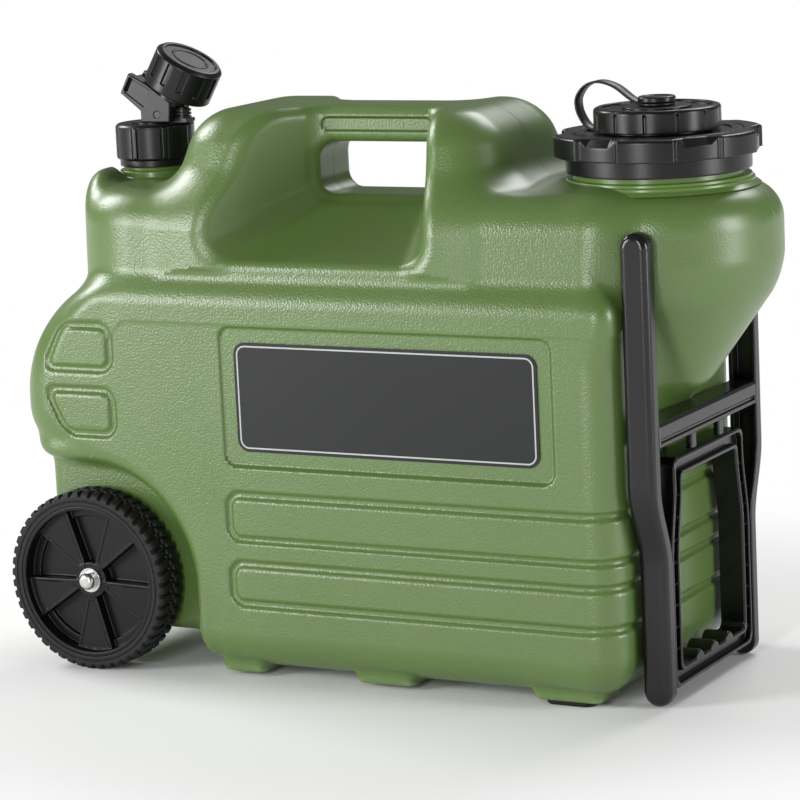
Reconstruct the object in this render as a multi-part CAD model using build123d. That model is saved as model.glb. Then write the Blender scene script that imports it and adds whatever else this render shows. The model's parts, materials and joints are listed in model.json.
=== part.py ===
from build123d import *
from math import cos, radians, sin, tan
import os

# Wheeled water container, in millimetres. X runs along the tank, from the wheels to the filler cap,
# Y across it, Z up. The origin is under the middle of the whole object, on the ground.

# Tank shell
body_length = 461.5
body_right = 198.0
body_width = 209.5
body_bottom = 7.7
shoulder_height = 274.0
deck_rise = 62.5
crown_rise = 52.0
waist_bottom = 24.0
waist_width = 158.0
wall = 2.6
side_corner = 32.5
end_corner = 25.0
left_round = 84.0
waist_round = 34.0
waist_setback = 8.0
waist_margin = 21.0
waist_slant = 31.0
waist_slant_round = 12.0
waist_step_round = 8.0
bulge_round = 38.0
shoulder_round = 13.5
bottom_round = 28.0
upper_inset = 7.5
upper_setback = 33.5
upper_overlap = 34.0
upper_corner_left = 66.0
deck_round = 25.0
deck_round_left = 22.0
crown_left = -165.0
crown_right = 118.0
crown_lean = 22.0
crown_corner = 62.0
crown_round = 22.0
chin_radius = 81.0
chin_belly_drop = 61.5
chin_belly_round = 45.0
chin_top_round = 25.0
chin_tip = 22.0
chin_tip_round = 16.0
chin_bottom = 193.0
foot_drop = 4.5
foot_width = 38.0
foot_margin = 12.5
foot_round = 3.0
foot_places = ((-94.5, 34.0), (16.0, 45.0), (152.0, 50.0))
rubber_foot_length = 35.0
rubber_foot_width = 32.0
rubber_foot_corner = 7.0
rubber_foot_edge = 1.5

# Carry handle
grip_left = -54.0
grip_right = 38.5
grip_sink = 8.5
grip_bar = 25.0
grip_width = 44.5
grip_corner = 11.6
scoop_spread_left = 54.0
scoop_spread_right = 27.0
scoop_drop = 42.5
scoop_corner = 21.0
grip_slot_length = 84.5
grip_slot_height = 8.6
grip_slot_depth = 1.4

# Flat faces that divide the shell into its named pieces, as margins beside the forms they clear
side_margin = 13.75
floor_margin = 14.3
right_margin = 10.0
left_margin = 24.5
waist_side_margin = 5.0
waist_end_margin = 12.5
waist_floor_margin = 8.0
arch_margin = 6.0
tunnel_reach = 18.0
tunnel_rise = 18.5
post_margin = 4.0
bar_margin = 4.0

# Panels pressed into the shell
panel_depth = 2.4
panel_groove = 5.8
label_setback = 42.0
label_drop = 26.5
label_margin = 10.5
label_length = 227.0
label_height = 75.0
label_thickness = 1.0
label_corner = 8.6
rib_reach = 2.0
rib_corner = 11.6
rib_rows = ((53.0, 86.5), (98.0, 134.5))
pad_setback = 24.0
pad_length = 61.5
pad_height = 36.5
pad_spacing = 9.0
pad_slant = 18.0

# Wheels and axle
wheel_radius = 63.5
wheel_setback = 55.5
wheel_gap = 3.8
tyre_width = 27.0
tyre_thickness = 9.6
tread_depth = 2.2
tread_gap = 2.6
tread_blocks = 48
tread_row = 11.4
spoke_count = 5
spoke_angle = 33.0
spoke_clearance = 1.4
hub_depth = 21.2
hub_rim = 3.0
hub_web = 4.0
hub_boss_radius = 12.6
hub_recess = 9.6
hub_step_width = 6.0
hub_step_height = 3.0
hub_spoke_root = 6.0
spoke_sink = 8.4
arch_gap = 19.0
axle_radius = 5.0
bush_radius = 8.0
bush_flange = 11.6
bush_length = 21.0
washer_radius = 8.6
washer_thickness = 1.2
nut_radius = 6.0
nut_length = 6.8
nut_cap = 2.0
nut_dome = 3.3

# Filler caps
filler_place = 190.5
filler_neck_radius = 56.0
filler_bore = 52.0
filler_bead = 63.0
filler_bead_height = 5.5
filler_gap = 6.5
filler_skirt_height = 6.0
filler_skirt_wall = 5.0
filler_grip_height = 22.5
filler_cap_radius = 69.0
filler_flute_depth = 3.0
filler_lobes = 6
filler_lobe_share = 0.55
filler_lobe_turn = 16.5
filler_plate = 4.8
thread_gap = 0.4
seal_thickness = 3.0
seal_margin = 0.5
spout_radius = 35.0
spout_bore = 30.0
spout_height = 8.6
cap_dish_reach = 6.0
cap_dish_depth = 1.0
small_cap_radius = 42.0
small_cap_gap = 1.0
small_cap_height = 15.0
small_cap_flutes = 12
small_flute_depth = 1.2
flute_share = 0.86
small_cap_plate = 3.4
small_cap_dish = 2.0
small_cap_rim = 5.0
small_cap_disc = 23.0
stud_radius = 3.0
stud_flange = 6.0
stud_flange_height = 2.7
button_radius = 12.5
button_height = 4.0
button_edge = 1.4
strap_thickness = 1.6
strap_width = 9.6
strap_rise = 18.5
strap_reach = 57.0
strap_shoulder = 36.0
strap_bend = 7.0
strap_foot = 6.0

# Tap
tap_setback = 31.5
tap_neck_radius = 23.5
tap_bore = 18.5
tap_bead = 26.5
tap_bead_height = 5.2
collar_radius = 28.5
collar_gap = 12.5
collar_height = 25.0
collar_skirt = 4.8
collar_skirt_wall = 2.0
collar_ribs = 8
collar_rib_depth = 1.3
collar_plate = 3.8
tap_flange = 3.6
turret_radius = 16.5
water_bore = 12.5
head_width = 27.0
head_foot = 5.4
head_outline = ((-13.5, -5.4), (10.0, -5.4), (11.4, 8.5), (-5.9, 20.7), (-22.0, 29.4), (-29.5, 15.4), (-13.5, 2.8))
lug_width = 12.0
lug_back = 8.7
lug_front = 6.8
lug_top = 6.3
pin_radius = 2.5
pin_offset = 10.6
pin_rise = 6.3
head_tilt = 30.0
housing_radius = 13.5
housing_start = 12.5
housing_end = 25.0
plug_radius = 8.0
plug_length = 10.0
plug_play = 1.2
plug_port = 2.6
stem_radius = 3.5
mouth_width = 15.5
mouth_height = 6.8
mouth_reach = 38.5
knob_radius = 24.6
knob_start = 19.0
knob_height = 26.0
knob_plate = 6.5
knob_dish = 1.2
knob_edge = 1.6
knob_slots = 12
knob_slot_width = 3.3
knob_slot_depth = 1.3
knob_wall = 3.8
knob_boss = 6.5
sleeve_radius = 6.0
sleeve_bore = 3.0
sleeve_place = 24.0
sleeve_rings = 3
sleeve_groove = 1.4
ledge_thickness = 2.6

# Pull frame and pull handle
frame_depth = 20.0
frame_gap = 3.0
arm_gap = 0.5
arm_thickness = 11.6
arm_lower_spread = 78.5
arm_jog_top = 144.5
arm_jog_bottom = 99.0
arm_bend = 38.0
arm_bottom = 1.0
arm_wall = 3.0
arm_edge = 4.4
frame_pivot_drop = 31.0
frame_pin_radius = 5.0
frame_pin_seat = 19.0
pin_boss_wall = 4.0
handle_pivot_rise = 4.9
handle_pin_radius = 3.0
handle_pin_seat = 9.2
cross_bar_bottom = 175.0
cross_bar_height = 15.5
cross_bar_groove = 2.5
catch_spread = 23.0
catch_width = 8.0
loop_drop = 11.5
loop_bottom = 10.6
loop_upper_spread = 58.5
loop_bar = 13.0
loop_side_gap = 0.8
loop_front_gap = 0.7
loop_bend = 23.0
loop_corner = 6.0
loop_lip = 3.0
loop_groove_depth = 4.4
loop_rib = 1.5
loop_rib_pitch = 14.5
grip_bumps = 3
grip_bump_pitch = 25.0
grip_bump_height = 4.8

# Fits
running_gap = 0.05
seat_gap = 0.3
smallest_round = 0.05

half_width = body_width / 2
body_left = body_right - body_length
deck_height = shoulder_height + deck_rise
crown_height = deck_height + crown_rise
upper_left = body_left + upper_setback
upper_half = half_width - upper_inset
grip_floor = deck_height - grip_sink
grip_underside = crown_height - grip_bar
wheel_place = body_left + wheel_setback
hub_height = wheel_radius
arch_radius = wheel_radius + arch_gap
arch_right = wheel_place + arch_radius
chin_belly = deck_height - chin_belly_drop
waist_slant_top = shoulder_height - left_round - waist_margin
tyre_inner = waist_width / 2 + wheel_gap
tyre_outer = tyre_inner + tyre_width
rim_radius = wheel_radius - tyre_thickness
hub_face = tyre_inner + hub_depth
foot_height = body_bottom - foot_drop
label_right = body_right - label_setback
label_left = label_right - label_length - 2 * label_margin
label_top = shoulder_height - label_drop
label_bottom = label_top - label_height - 2 * label_margin
filler_skirt_bottom = deck_height + filler_gap
filler_lobe_bottom = filler_skirt_bottom + filler_skirt_height
filler_cap_top = filler_lobe_bottom + filler_grip_height
filler_under = filler_cap_top - filler_plate
filler_neck_top = filler_under - seal_thickness - seat_gap
spout_top = filler_cap_top + spout_height
small_cap_bottom = filler_cap_top + small_cap_gap
small_cap_top = small_cap_bottom + small_cap_height
small_under = small_cap_top - small_cap_dish - small_cap_plate
eye_bottom = small_cap_top + seat_gap
eye_top = eye_bottom + strap_thickness + seat_gap
tap_place = upper_left + tap_setback
collar_bottom = deck_height + collar_gap
collar_top = collar_bottom + collar_height
tap_flange_top = collar_top - collar_plate - seat_gap
tap_flange_bottom = tap_flange_top - tap_flange
tap_neck_top = tap_flange_bottom - seal_thickness
pin_place = tap_place + pin_offset
pin_height = collar_top + pin_rise
knob_end = knob_start + knob_height
frame_left = body_right + frame_gap
frame_right = frame_left + frame_depth
frame_middle = (frame_left + frame_right) / 2
frame_pivot_height = deck_height - frame_pivot_drop
arm_upper_spread = chin_radius + arm_gap + arm_thickness
handle_pivot_height = loop_bottom + handle_pivot_rise
loop_top = cross_bar_bottom - loop_drop
loop_lower_spread = arm_lower_spread - arm_thickness - loop_side_gap
beyond = body_length


def outline(points, radii, move_in=0):
    """Closed anticlockwise polygon with rounded corners, its edges all moved inwards by one distance."""
    spots = [Vector(*point) for point in points]
    corners = []
    rounds = []
    for number, spot in enumerate(spots):
        before = (spot - spots[number - 1]).normalized()
        after = (spots[(number + 1) % len(spots)] - spot).normalized()
        inward = Vector(-before.Y - after.Y, before.X + after.X)
        corners.append(spot + inward * (move_in / (1 + before.dot(after))))
        hollow = before.cross(after).Z < 0
        rounds.append(radii[number] + move_in if hollow else radii[number] - move_in)
    face = make_face(Polyline(*corners, close=True)).face()
    for corner, radius, drawn in zip(corners, rounds, radii):
        if drawn > 0 and radius > smallest_round:
            vertex = face.vertices().sort_by_distance(corner)[0]
            face = face.fillet_2d(radius, [vertex])
    return face


def block_y(face, half):
    """A side outline, drawn in X and Z, made solid to both sides of the middle."""
    return extrude(Plane.XZ * face, amount=half, both=True)


def front_y(face, near, far):
    """A side outline, drawn in X and Z, made solid in front of the middle, from near to far."""
    return extrude(Plane.XZ.offset(near) * face, amount=far - near)


def block_x(face, start, end):
    """An end outline, drawn in Y and Z, made solid from start to end along X."""
    return extrude(Plane.YZ.offset(start) * face, amount=end - start)


def block_z(face, start, end):
    """A plan outline, drawn in X and Y, made solid from start to end along Z."""
    return extrude(Plane.XY.offset(start) * face, amount=end - start)


def rod_y(radius, x, z, start, end):
    """Round bar along Y."""
    plane = Plane(origin=(x, start, z), x_dir=(1, 0, 0), z_dir=(0, 1, 0))
    return extrude(plane * Circle(radius), amount=end - start)


def ring_z(outer, inner, x, start, end):
    """Ring about a vertical axis in the middle plane of the tank."""
    return block_z(Pos(x, 0) * (Circle(outer) - Circle(inner)), start, end)


def disc_z(radius, x, start, end):
    """Disc about a vertical axis in the middle plane of the tank."""
    return block_z(Pos(x, 0) * Circle(radius), start, end)


def box_between(low, high):
    """Box from its lowest to its highest corner."""
    size = [b - a for a, b in zip(low, high)]
    return Pos(*low) * Box(*size, align=(Align.MIN, Align.MIN, Align.MIN))


def both_sides(shape):
    """A piece of the front side and its mirror image on the back."""
    return [shape, mirror(shape, about=Plane.XZ)]


def group(shapes, name):
    """Separate solids that share one name."""
    compound = Compound(children=[part for shape in shapes for part in shape.solids()])
    compound.label = name
    return compound


def lower_plan(move_in):
    """Plan of the lower body."""
    return outline(
        [(body_left, -half_width), (body_right, -half_width), (body_right, half_width), (body_left, half_width)],
        [side_corner, end_corner, end_corner, side_corner], move_in)


def lower_body(move_in):
    """Lower body with the waist between the wheels and the big round at its left end."""
    side = outline(
        [(body_left + waist_setback, waist_bottom), (arch_right, waist_bottom), (arch_right, body_bottom),
         (body_right, body_bottom), (body_right, shoulder_height), (body_left, shoulder_height),
         (body_left, waist_slant_top), (body_left + waist_setback, waist_slant_top - waist_slant)],
        [waist_round, 0, waist_step_round, bottom_round, shoulder_round, left_round, waist_slant_round,
         waist_slant_round], move_in)
    end = outline(
        [(-half_width, body_bottom), (half_width, body_bottom), (half_width, shoulder_height),
         (-half_width, shoulder_height)],
        [bottom_round, bottom_round, shoulder_round, shoulder_round], move_in)
    solid = block_y(side, half_width) & block_z(lower_plan(move_in), 0, crown_height)
    return solid & block_x(end, body_left, body_right)


def upper_body(move_in):
    """Narrower body above the shoulder, up to the two decks with the screw necks."""
    base = shoulder_height - upper_overlap
    side = outline(
        [(upper_left, base), (body_right, base), (body_right, deck_height), (upper_left, deck_height)],
        [0, 0, 0, deck_round_left], move_in)
    plan = outline(
        [(upper_left, -upper_half), (body_right, -upper_half), (body_right, upper_half), (upper_left, upper_half)],
        [upper_corner_left, end_corner, end_corner, upper_corner_left], move_in)
    lean = upper_inset / 2
    end = outline(
        [(-upper_half, base), (upper_half, base), (upper_half - lean, deck_height), (lean - upper_half, deck_height)],
        [0, 0, deck_round, deck_round], move_in)
    solid = block_y(side, upper_half) & block_z(plan, 0, crown_height)
    return solid & block_x(end, body_left, body_right)


def crown_plan(height, move_in):
    """Plan of the raised middle at one height above its foot; it leans in by the same angle all round."""
    lean = radians(crown_lean)
    return outline(
        [(crown_left, -upper_half), (crown_right, -upper_half), (crown_right, upper_half), (crown_left, upper_half)],
        [crown_corner] * 4, move_in / cos(lean) + height * tan(lean))


def crown(move_in):
    """Raised middle that carries the handle."""
    base = deck_height - deck_round
    top = crown_height - move_in
    low_plan = Plane.XY.offset(base) * crown_plan(0, move_in)
    high_plan = Plane.XY.offset(top) * crown_plan(top - base, move_in)
    solid = loft([low_plan, high_plan], ruled=True)
    return fillet(solid.edges().group_by(Axis.Z)[-1], crown_round - move_in)


def chin(move_in):
    """Round bowl below the filler neck, which overhangs the end."""
    side = outline(
        [(-move_in, chin_bottom), (chin_tip, chin_bottom), (chin_radius, chin_belly), (chin_radius, deck_height),
         (-move_in, deck_height)],
        [0, chin_tip_round, chin_belly_round, chin_top_round, 0], move_in)
    return revolve(Plane.XZ * Pos(filler_place, 0) * side, axis=Axis((filler_place, 0, 0), (0, 0, 1)))


def scoop(grow):
    """Wedge that opens one side of the crown under the handle."""
    top = crown_height + crown_rise
    near = grip_width / 2 - grow
    far = half_width + grow
    inner = outline(
        [(grip_left, grip_floor), (grip_right, grip_floor), (grip_right, top), (grip_left, top)],
        [grip_corner, grip_corner, 0, 0], -grow)
    left = grip_left - scoop_spread_left
    right = grip_right + scoop_spread_right
    floor = grip_floor - scoop_drop
    outer = outline(
        [(left, floor), (right, floor), (right, top), (left, top)], [scoop_corner, scoop_corner, 0, 0], -grow)
    return loft([Plane.XZ.offset(near) * inner, Plane.XZ.offset(far) * outer], ruled=True)


def grip_gap(grow):
    """Space for the fingers below the handle."""
    face = outline(
        [(grip_left, grip_floor), (grip_right, grip_floor), (grip_right, grip_underside), (grip_left, grip_underside)],
        [grip_corner] * 4, -grow)
    return block_y(face, grip_width)


def wheel_arch(grow):
    """Space for one wheel, open at the left end and below, with the bulge's and the foot's rounds."""
    near = waist_width / 2 - grow
    far = half_width + wheel_gap
    arch_top = hub_height + arch_radius
    side = outline(
        [(body_left - beyond, -beyond), (beyond, -beyond), (beyond, body_bottom), (arch_right, body_bottom),
         (arch_right, hub_height), (wheel_place, hub_height), (wheel_place, arch_top), (body_left, arch_top),
         (body_left, arch_top + left_round), (body_left - beyond, arch_top + left_round)],
        [0, 0, 0, bottom_round, 0, 0, 0, bulge_round, 0, 0], -grow)
    space = front_y(side, near, far)
    return space + rod_y(arch_radius + grow, wheel_place, hub_height, -far, -near)


def rib_outline(row, move_in):
    """Outline of one rib, which runs on round the right corner of the lower body."""
    low, high = row
    left = label_left - rib_reach
    far = body_right + panel_groove + move_in
    return outline([(left, low), (far, low), (far, high), (left, high)], [rib_corner, 0, 0, rib_corner], move_in)


def pad_outline(row, move_in):
    """Outline of the upper or the lower pad beside the wheel arch."""
    left = body_left + pad_setback
    right = left + pad_length
    high = label_top - row * (pad_height + pad_spacing)
    low = high - pad_height
    slants = (0, pad_slant) if row == 0 else (pad_slant, 0)
    rounds = [rib_corner, rib_corner, rib_corner, rib_corner]
    points = [(left + slants[0], low), (right, low), (right, high), (left + slants[1], high)]
    return outline(points, rounds, move_in)


def panel_faces(grow):
    """Outlines, in X and Z, that are pressed into both sides of the lower body."""
    faces = [outline(
        [(label_left, label_bottom), (label_right, label_bottom), (label_right, label_top), (label_left, label_top)],
        [label_corner] * 4, -grow)]
    for row in rib_rows:
        faces.append(Sketch() + rib_outline(row, -grow) - rib_outline(row, panel_groove + grow))
    for row in (0, 1):
        faces.append(Sketch() + pad_outline(row, -grow) - pad_outline(row, panel_groove + grow))
    return faces


def panels(start, grow):
    """Skin of the lower body, panel_depth thick, inside the pressed outlines."""
    skin = block_z(lower_plan(start), body_bottom, shoulder_height)
    skin -= block_z(lower_plan(start + panel_depth), 0, crown_height)
    cut = [block_y(face, half_width + panel_depth) & skin for face in panel_faces(grow)]
    return Part() + cut


def tank_form(move_in):
    """Whole outer shape of the shell, or the cavity when moved in by the wall."""
    solid = lower_body(move_in) + upper_body(move_in) + crown(move_in) + chin(move_in)
    for side in (scoop(move_in), wheel_arch(move_in)):
        for cut in both_sides(side):
            solid -= cut
    solid -= grip_gap(move_in)
    return solid - panels(move_in, move_in)


def moulded_feet():
    """Low pads under the shell."""
    pads = []
    for middle, length in foot_places:
        place = Pos(middle, -half_width + foot_margin + foot_width / 2)
        pad = block_z(place * RectangleRounded(length, foot_width, 2 * foot_round), foot_height, waist_bottom)
        pads += both_sides(fillet(pad.edges().group_by(Axis.Z)[0], foot_round))
    return pads


def handle_slots(face):
    """Long shallow slot in each side of the handle."""
    slots = []
    for y in (-1, 1):
        origin = ((grip_left + grip_right) / 2, y * grip_width / 2, (grip_underside + crown_height) / 2)
        slots.append(extrude(Plane(origin=origin, x_dir=(1, 0, 0), z_dir=(0, y, 0)) * face, amount=-grip_slot_depth))
    return slots


def tank_body():
    """Shell with its necks, sockets and axle tunnel."""
    form = tank_form(0)
    for pad in moulded_feet():
        form += pad
    shell = form - tank_form(wall)
    shell += disc_z(filler_neck_radius, filler_place, deck_height - deck_round_left, filler_neck_top)
    shell += disc_z(filler_bead, filler_place, deck_height - wall, deck_height + filler_bead_height)
    shell -= disc_z(filler_bore, filler_place, deck_height - deck_round, filler_cap_top)
    shell += disc_z(tap_neck_radius, tap_place, deck_height - deck_round_left, tap_neck_top)
    shell += disc_z(tap_bead, tap_place, deck_height - wall, deck_height + tap_bead_height)
    shell -= disc_z(tap_bore, tap_place, deck_height - deck_round, crown_height)
    inner = waist_width / 2
    shell += rod_y(bush_radius + wall, wheel_place, hub_height, -inner, inner)
    shell -= rod_y(bush_radius, wheel_place, hub_height, -half_width, half_width)
    face = chin_radius
    socket_end = face - frame_pin_seat
    boss = frame_pin_radius + pin_boss_wall
    for y in (-1, 1):
        shell += rod_y(boss, frame_middle, frame_pivot_height, y * (socket_end - pin_boss_wall), y * face)
        shell -= rod_y(frame_pin_radius + running_gap, frame_middle, frame_pivot_height, y * socket_end,
                       y * (face + arm_gap))
    for slot in handle_slots(SlotOverall(grip_slot_length, grip_slot_height)):
        shell -= slot
    return shell


def shell_regions():
    """Boxes that divide the shell, in the order in which each takes its part of what is left."""
    side = half_width - side_margin
    waist_side = waist_width / 2 - waist_side_margin
    waist_end = arch_right + waist_end_margin
    arch_cut = hub_height + arch_radius + arch_margin
    deck_cut = deck_height - deck_round
    right_cut = body_right - right_margin
    left_cut = body_left + left_margin
    post_left = grip_left + post_margin
    post_right = grip_right - post_margin
    far = beyond
    return [
        ("tank_side_walls", (-far, -far, 0), (far, -side, far)),
        ("tank_side_walls", (-far, side, 0), (far, far, far)),
        ("tank_floor", (-far, -far, 0), (far, far, body_bottom + floor_margin)),
        ("tank_right_end", (right_cut, -far, 0), (far, far, chin_bottom)),
        ("tank_chin", (right_cut, -far, 0), (far, far, deck_cut)),
        ("tank_filler_deck", (crown_right, -far, 0), (far, far, far)),
        ("tank_wheel_arches", (-far, -far, 0), (waist_end, -waist_side, arch_cut)),
        ("tank_wheel_arches", (-far, waist_side, 0), (waist_end, far, arch_cut)),
        ("tank_axle_tunnel", (-far, -far, 0), (wheel_place + tunnel_reach, far, hub_height + tunnel_rise)),
        ("tank_waist_floor", (-far, -far, 0), (waist_end, far, waist_bottom + waist_floor_margin)),
        ("tank_left_end", (-far, -far, 0), (left_cut, far, arch_cut)),
        ("tank_left_end", (-far, -far, arch_cut), (left_cut, far, far)),
        ("tank_left_shoulder", (-far, -far, 0), (waist_end, far, deck_cut)),
        ("tank_tap_deck", (-far, -far, 0), (waist_end, far, far)),
        ("tank_handle_bar", (-far, -far, grip_underside - bar_margin), (far, far, far)),
        ("tank_handle_ends", (-far, -far, 0), (post_left, far, far)),
        ("tank_handle_ends", (post_right, -far, 0), (far, far, far)),
        ("tank_grip_floor", (-far, -far, 0), (far, far, far)),
    ]


def tank_pieces():
    """The shell, which is one blown piece, divided at flat faces so that its hollow stays open."""
    left_over = tank_body()
    regions = {}
    for name, low, high in shell_regions():
        box = box_between(low, high)
        regions.setdefault(name, []).append(left_over & box)
        left_over -= box
    return {name: group(parts, name) for name, parts in regions.items()}


def label_plate():
    """Flat plate on the floor of the front recess."""
    plate = Pos((label_left + label_right) / 2, (label_bottom + label_top) / 2)
    plate = plate * RectangleRounded(label_length, label_height, label_corner)
    floor = half_width - panel_depth
    return front_y(plate, floor, floor + label_thickness)


def rubber_feet():
    """Two soft pads under the end that has no wheels."""
    middle = foot_places[-1][0]
    place = Pos(middle, -half_width + foot_margin + foot_width / 2)
    solid = block_z(place * RectangleRounded(rubber_foot_length, rubber_foot_width, rubber_foot_corner), 0, foot_height)
    solid = fillet(solid.edges().group_by(Axis.Z)[0], rubber_foot_edge)
    return group(both_sides(solid), "rubber_feet")


def axle():
    """Steel bar through the waist and both wheels."""
    end = hub_face + washer_thickness + nut_length - nut_cap
    return rod_y(axle_radius, wheel_place, hub_height, -end, end)


def axle_bushes():
    """Flanged bushes pressed into the ends of the tunnel."""
    inner = waist_width / 2
    bush = rod_y(bush_radius, wheel_place, hub_height, -inner, -inner + bush_length)
    bush += rod_y(bush_flange, wheel_place, hub_height, -tyre_inner + seat_gap, -inner)
    bush -= rod_y(axle_radius, wheel_place, hub_height, -half_width, 0)
    return group(both_sides(bush), "axle_bushes")


def axle_washers():
    """Washers outside the hubs."""
    start = hub_face + running_gap
    washer = rod_y(washer_radius, wheel_place, hub_height, -start - washer_thickness, -start)
    washer -= rod_y(axle_radius, wheel_place, hub_height, -start - washer_thickness, 0)
    return group(both_sides(washer), "axle_washers")


def axle_nuts():
    """Domed nuts on the axle's ends."""
    start = hub_face + running_gap + washer_thickness
    nut = rod_y(nut_radius, wheel_place, hub_height, -start - nut_length, -start)
    nut = fillet(nut.edges().sort_by(Axis.Y)[0], nut_dome)
    nut -= axle()
    return group(both_sides(nut), "axle_nuts")


def wheel_plane(y):
    """Plane of a wheel's section, whose normal points out of the front side."""
    return Plane(origin=(wheel_place, y, hub_height), x_dir=(1, 0, 0), z_dir=(0, -1, 0))


def wheel_disc(face, start, end):
    """Round piece of the front wheel, from start to end past the tyre's inner edge."""
    return extrude(wheel_plane(-tyre_inner - start) * face, amount=end - start)


def spoke():
    """One wedge, drawn about the hub's middle."""
    half = radians(spoke_angle / 2)
    tip = rim_radius - spoke_clearance
    points = [(hub_spoke_root * cos(half), -hub_spoke_root * sin(half)), (tip * cos(half), -tip * sin(half)),
              (tip * cos(half), tip * sin(half)), (hub_spoke_root * cos(half), hub_spoke_root * sin(half))]
    return make_face([
        Line(points[0], points[1]),
        ThreePointArc(points[1], (tip, 0), points[2]),
        Line(points[2], points[3]),
        Line(points[3], points[0]),
    ]).face()


def wheel_hub():
    """Rim, web, boss and raised spokes of the front wheel."""
    web_end = hub_recess + hub_web
    hub = wheel_disc(Circle(rim_radius) - Circle(rim_radius - hub_rim), 0, tyre_width - seat_gap)
    hub += wheel_disc(Circle(rim_radius - hub_rim / 2), hub_recess, web_end)
    step = Circle(rim_radius - hub_rim / 2) - Circle(rim_radius - hub_rim - hub_step_width)
    hub += wheel_disc(step, hub_recess, web_end + hub_step_height)
    hub += wheel_disc(Circle(hub_boss_radius), 0, hub_depth)
    for number in range(spoke_count):
        turn = 90 + 180 / spoke_count + number * 360 / spoke_count
        hub += wheel_disc(Rot(0, 0, turn) * spoke(), hub_depth - spoke_sink, hub_depth)
    return hub - rod_y(axle_radius + running_gap, wheel_place, hub_height, -tyre_outer, 0)


def tread_ring(turn):
    """Round outline with notches between the tread blocks."""
    notch = Pos(wheel_radius, 0) * Rectangle(2 * tread_depth, tread_gap)
    step = 360 / tread_blocks
    return Sketch() + Circle(wheel_radius) - [
        Rot(0, 0, turn + number * step) * notch for number in range(tread_blocks)]


def tyre():
    """Tyre of the front wheel with two staggered rows of tread blocks."""
    far_row = tyre_width - tread_row
    rubber = wheel_disc(Circle(wheel_radius - tread_depth / 2), tread_row, far_row)
    rubber += wheel_disc(tread_ring(0), 0, tread_row)
    rubber += wheel_disc(tread_ring(180 / tread_blocks), far_row, tyre_width)
    return rubber - wheel_disc(Circle(rim_radius), 0, tyre_width)


def lobed(outer, valley, count, share):
    """Round outline with raised lobes, each a share of its pitch."""
    half = radians(360 / count * (1 - share) / 2)
    far = 2 * outer - valley
    notch = make_face(Polyline(
        (valley * cos(half), valley * sin(half)), (far * cos(half), far * sin(half)),
        (far * cos(half), -far * sin(half)), (valley * cos(half), -valley * sin(half)), close=True)).face()
    return Sketch() + Circle(outer) - [Rot(0, 0, number * 360 / count) * notch for number in range(count)]


def filler_cap():
    """Large lobed screw cap with the small spout in its middle."""
    inside = filler_neck_radius + thread_gap
    grip = lobed(filler_cap_radius, filler_cap_radius - filler_flute_depth, filler_lobes, filler_lobe_share)
    cap = block_z(Pos(filler_place, 0) * Rot(0, 0, filler_lobe_turn) * grip, filler_lobe_bottom, filler_cap_top)
    cap += disc_z(inside + filler_skirt_wall, filler_place, filler_skirt_bottom, filler_lobe_bottom)
    cap -= disc_z(inside, filler_place, 0, filler_under)
    dish = small_cap_radius + cap_dish_reach
    cap -= ring_z(dish, spout_radius, filler_place, filler_cap_top - cap_dish_depth, filler_cap_top)
    cap += disc_z(spout_radius, filler_place, filler_under, spout_top)
    return cap - disc_z(spout_bore, filler_place, 0, crown_height)


def filler_seal():
    """Flat ring between the neck and the large cap."""
    return ring_z(filler_neck_radius - seal_margin, filler_bore + seal_margin, filler_place, filler_neck_top,
                  filler_neck_top + seal_thickness)


def small_cap():
    """Fluted screw cap of the spout."""
    grip = lobed(small_cap_radius, small_cap_radius - small_flute_depth, small_cap_flutes, flute_share)
    cap = block_z(Pos(filler_place, 0) * grip, small_cap_bottom, small_cap_top)
    cap -= disc_z(spout_radius + thread_gap, filler_place, 0, small_under)
    dish = ring_z(small_cap_radius - small_cap_rim, small_cap_disc, filler_place, small_cap_top - small_cap_dish,
                  crown_height)
    return cap - dish - disc_z(stud_radius + running_gap, filler_place, 0, crown_height)


def small_seal():
    """Flat ring between the spout and the small cap."""
    return ring_z(spout_radius - seal_margin, spout_bore + seal_margin, filler_place, spout_top,
                  small_under - seat_gap)


def cap_button():
    """Stud that holds the strap's eye on the small cap."""
    button = disc_z(button_radius, filler_place, eye_top, eye_top + button_height)
    button = fillet(button.edges().group_by(Axis.Z)[-1], button_edge)
    foot = small_under - seat_gap - stud_flange_height
    button += disc_z(stud_radius, filler_place, foot, eye_top)
    return button + disc_z(stud_flange, filler_place, foot, small_under - seat_gap)


def cap_strap():
    """Strap from the eye under the button to the flat rim of the large cap."""
    middle = eye_bottom + strap_thickness / 2
    foot = small_cap_radius + cap_dish_reach + strap_foot
    high = small_cap_top + strap_rise
    level = (high + filler_cap_top) / 2
    route = [(-button_radius + strap_foot, middle), (-button_radius - strap_foot, middle), (-strap_shoulder, high),
             (-strap_reach, high), (-strap_reach, level), (-foot, filler_cap_top + strap_thickness)]
    path = Plane.XZ * Pos(filler_place, 0) * FilletPolyline(*route, radius=strap_bend)
    start = Plane(origin=path @ 0, x_dir=(0, 1, 0), z_dir=path % 0)
    strap = sweep(start * Rectangle(strap_width, strap_thickness), path=path)
    strap += ring_z(button_radius - seat_gap, stud_radius + thread_gap, filler_place, eye_bottom,
                    eye_bottom + strap_thickness)
    return strap + box_between(
        (filler_place - foot - strap_foot / 2, -strap_width / 2, filler_cap_top),
        (filler_place - foot + strap_foot / 2, strap_width / 2, filler_cap_top + 1.5 * strap_thickness))


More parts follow.
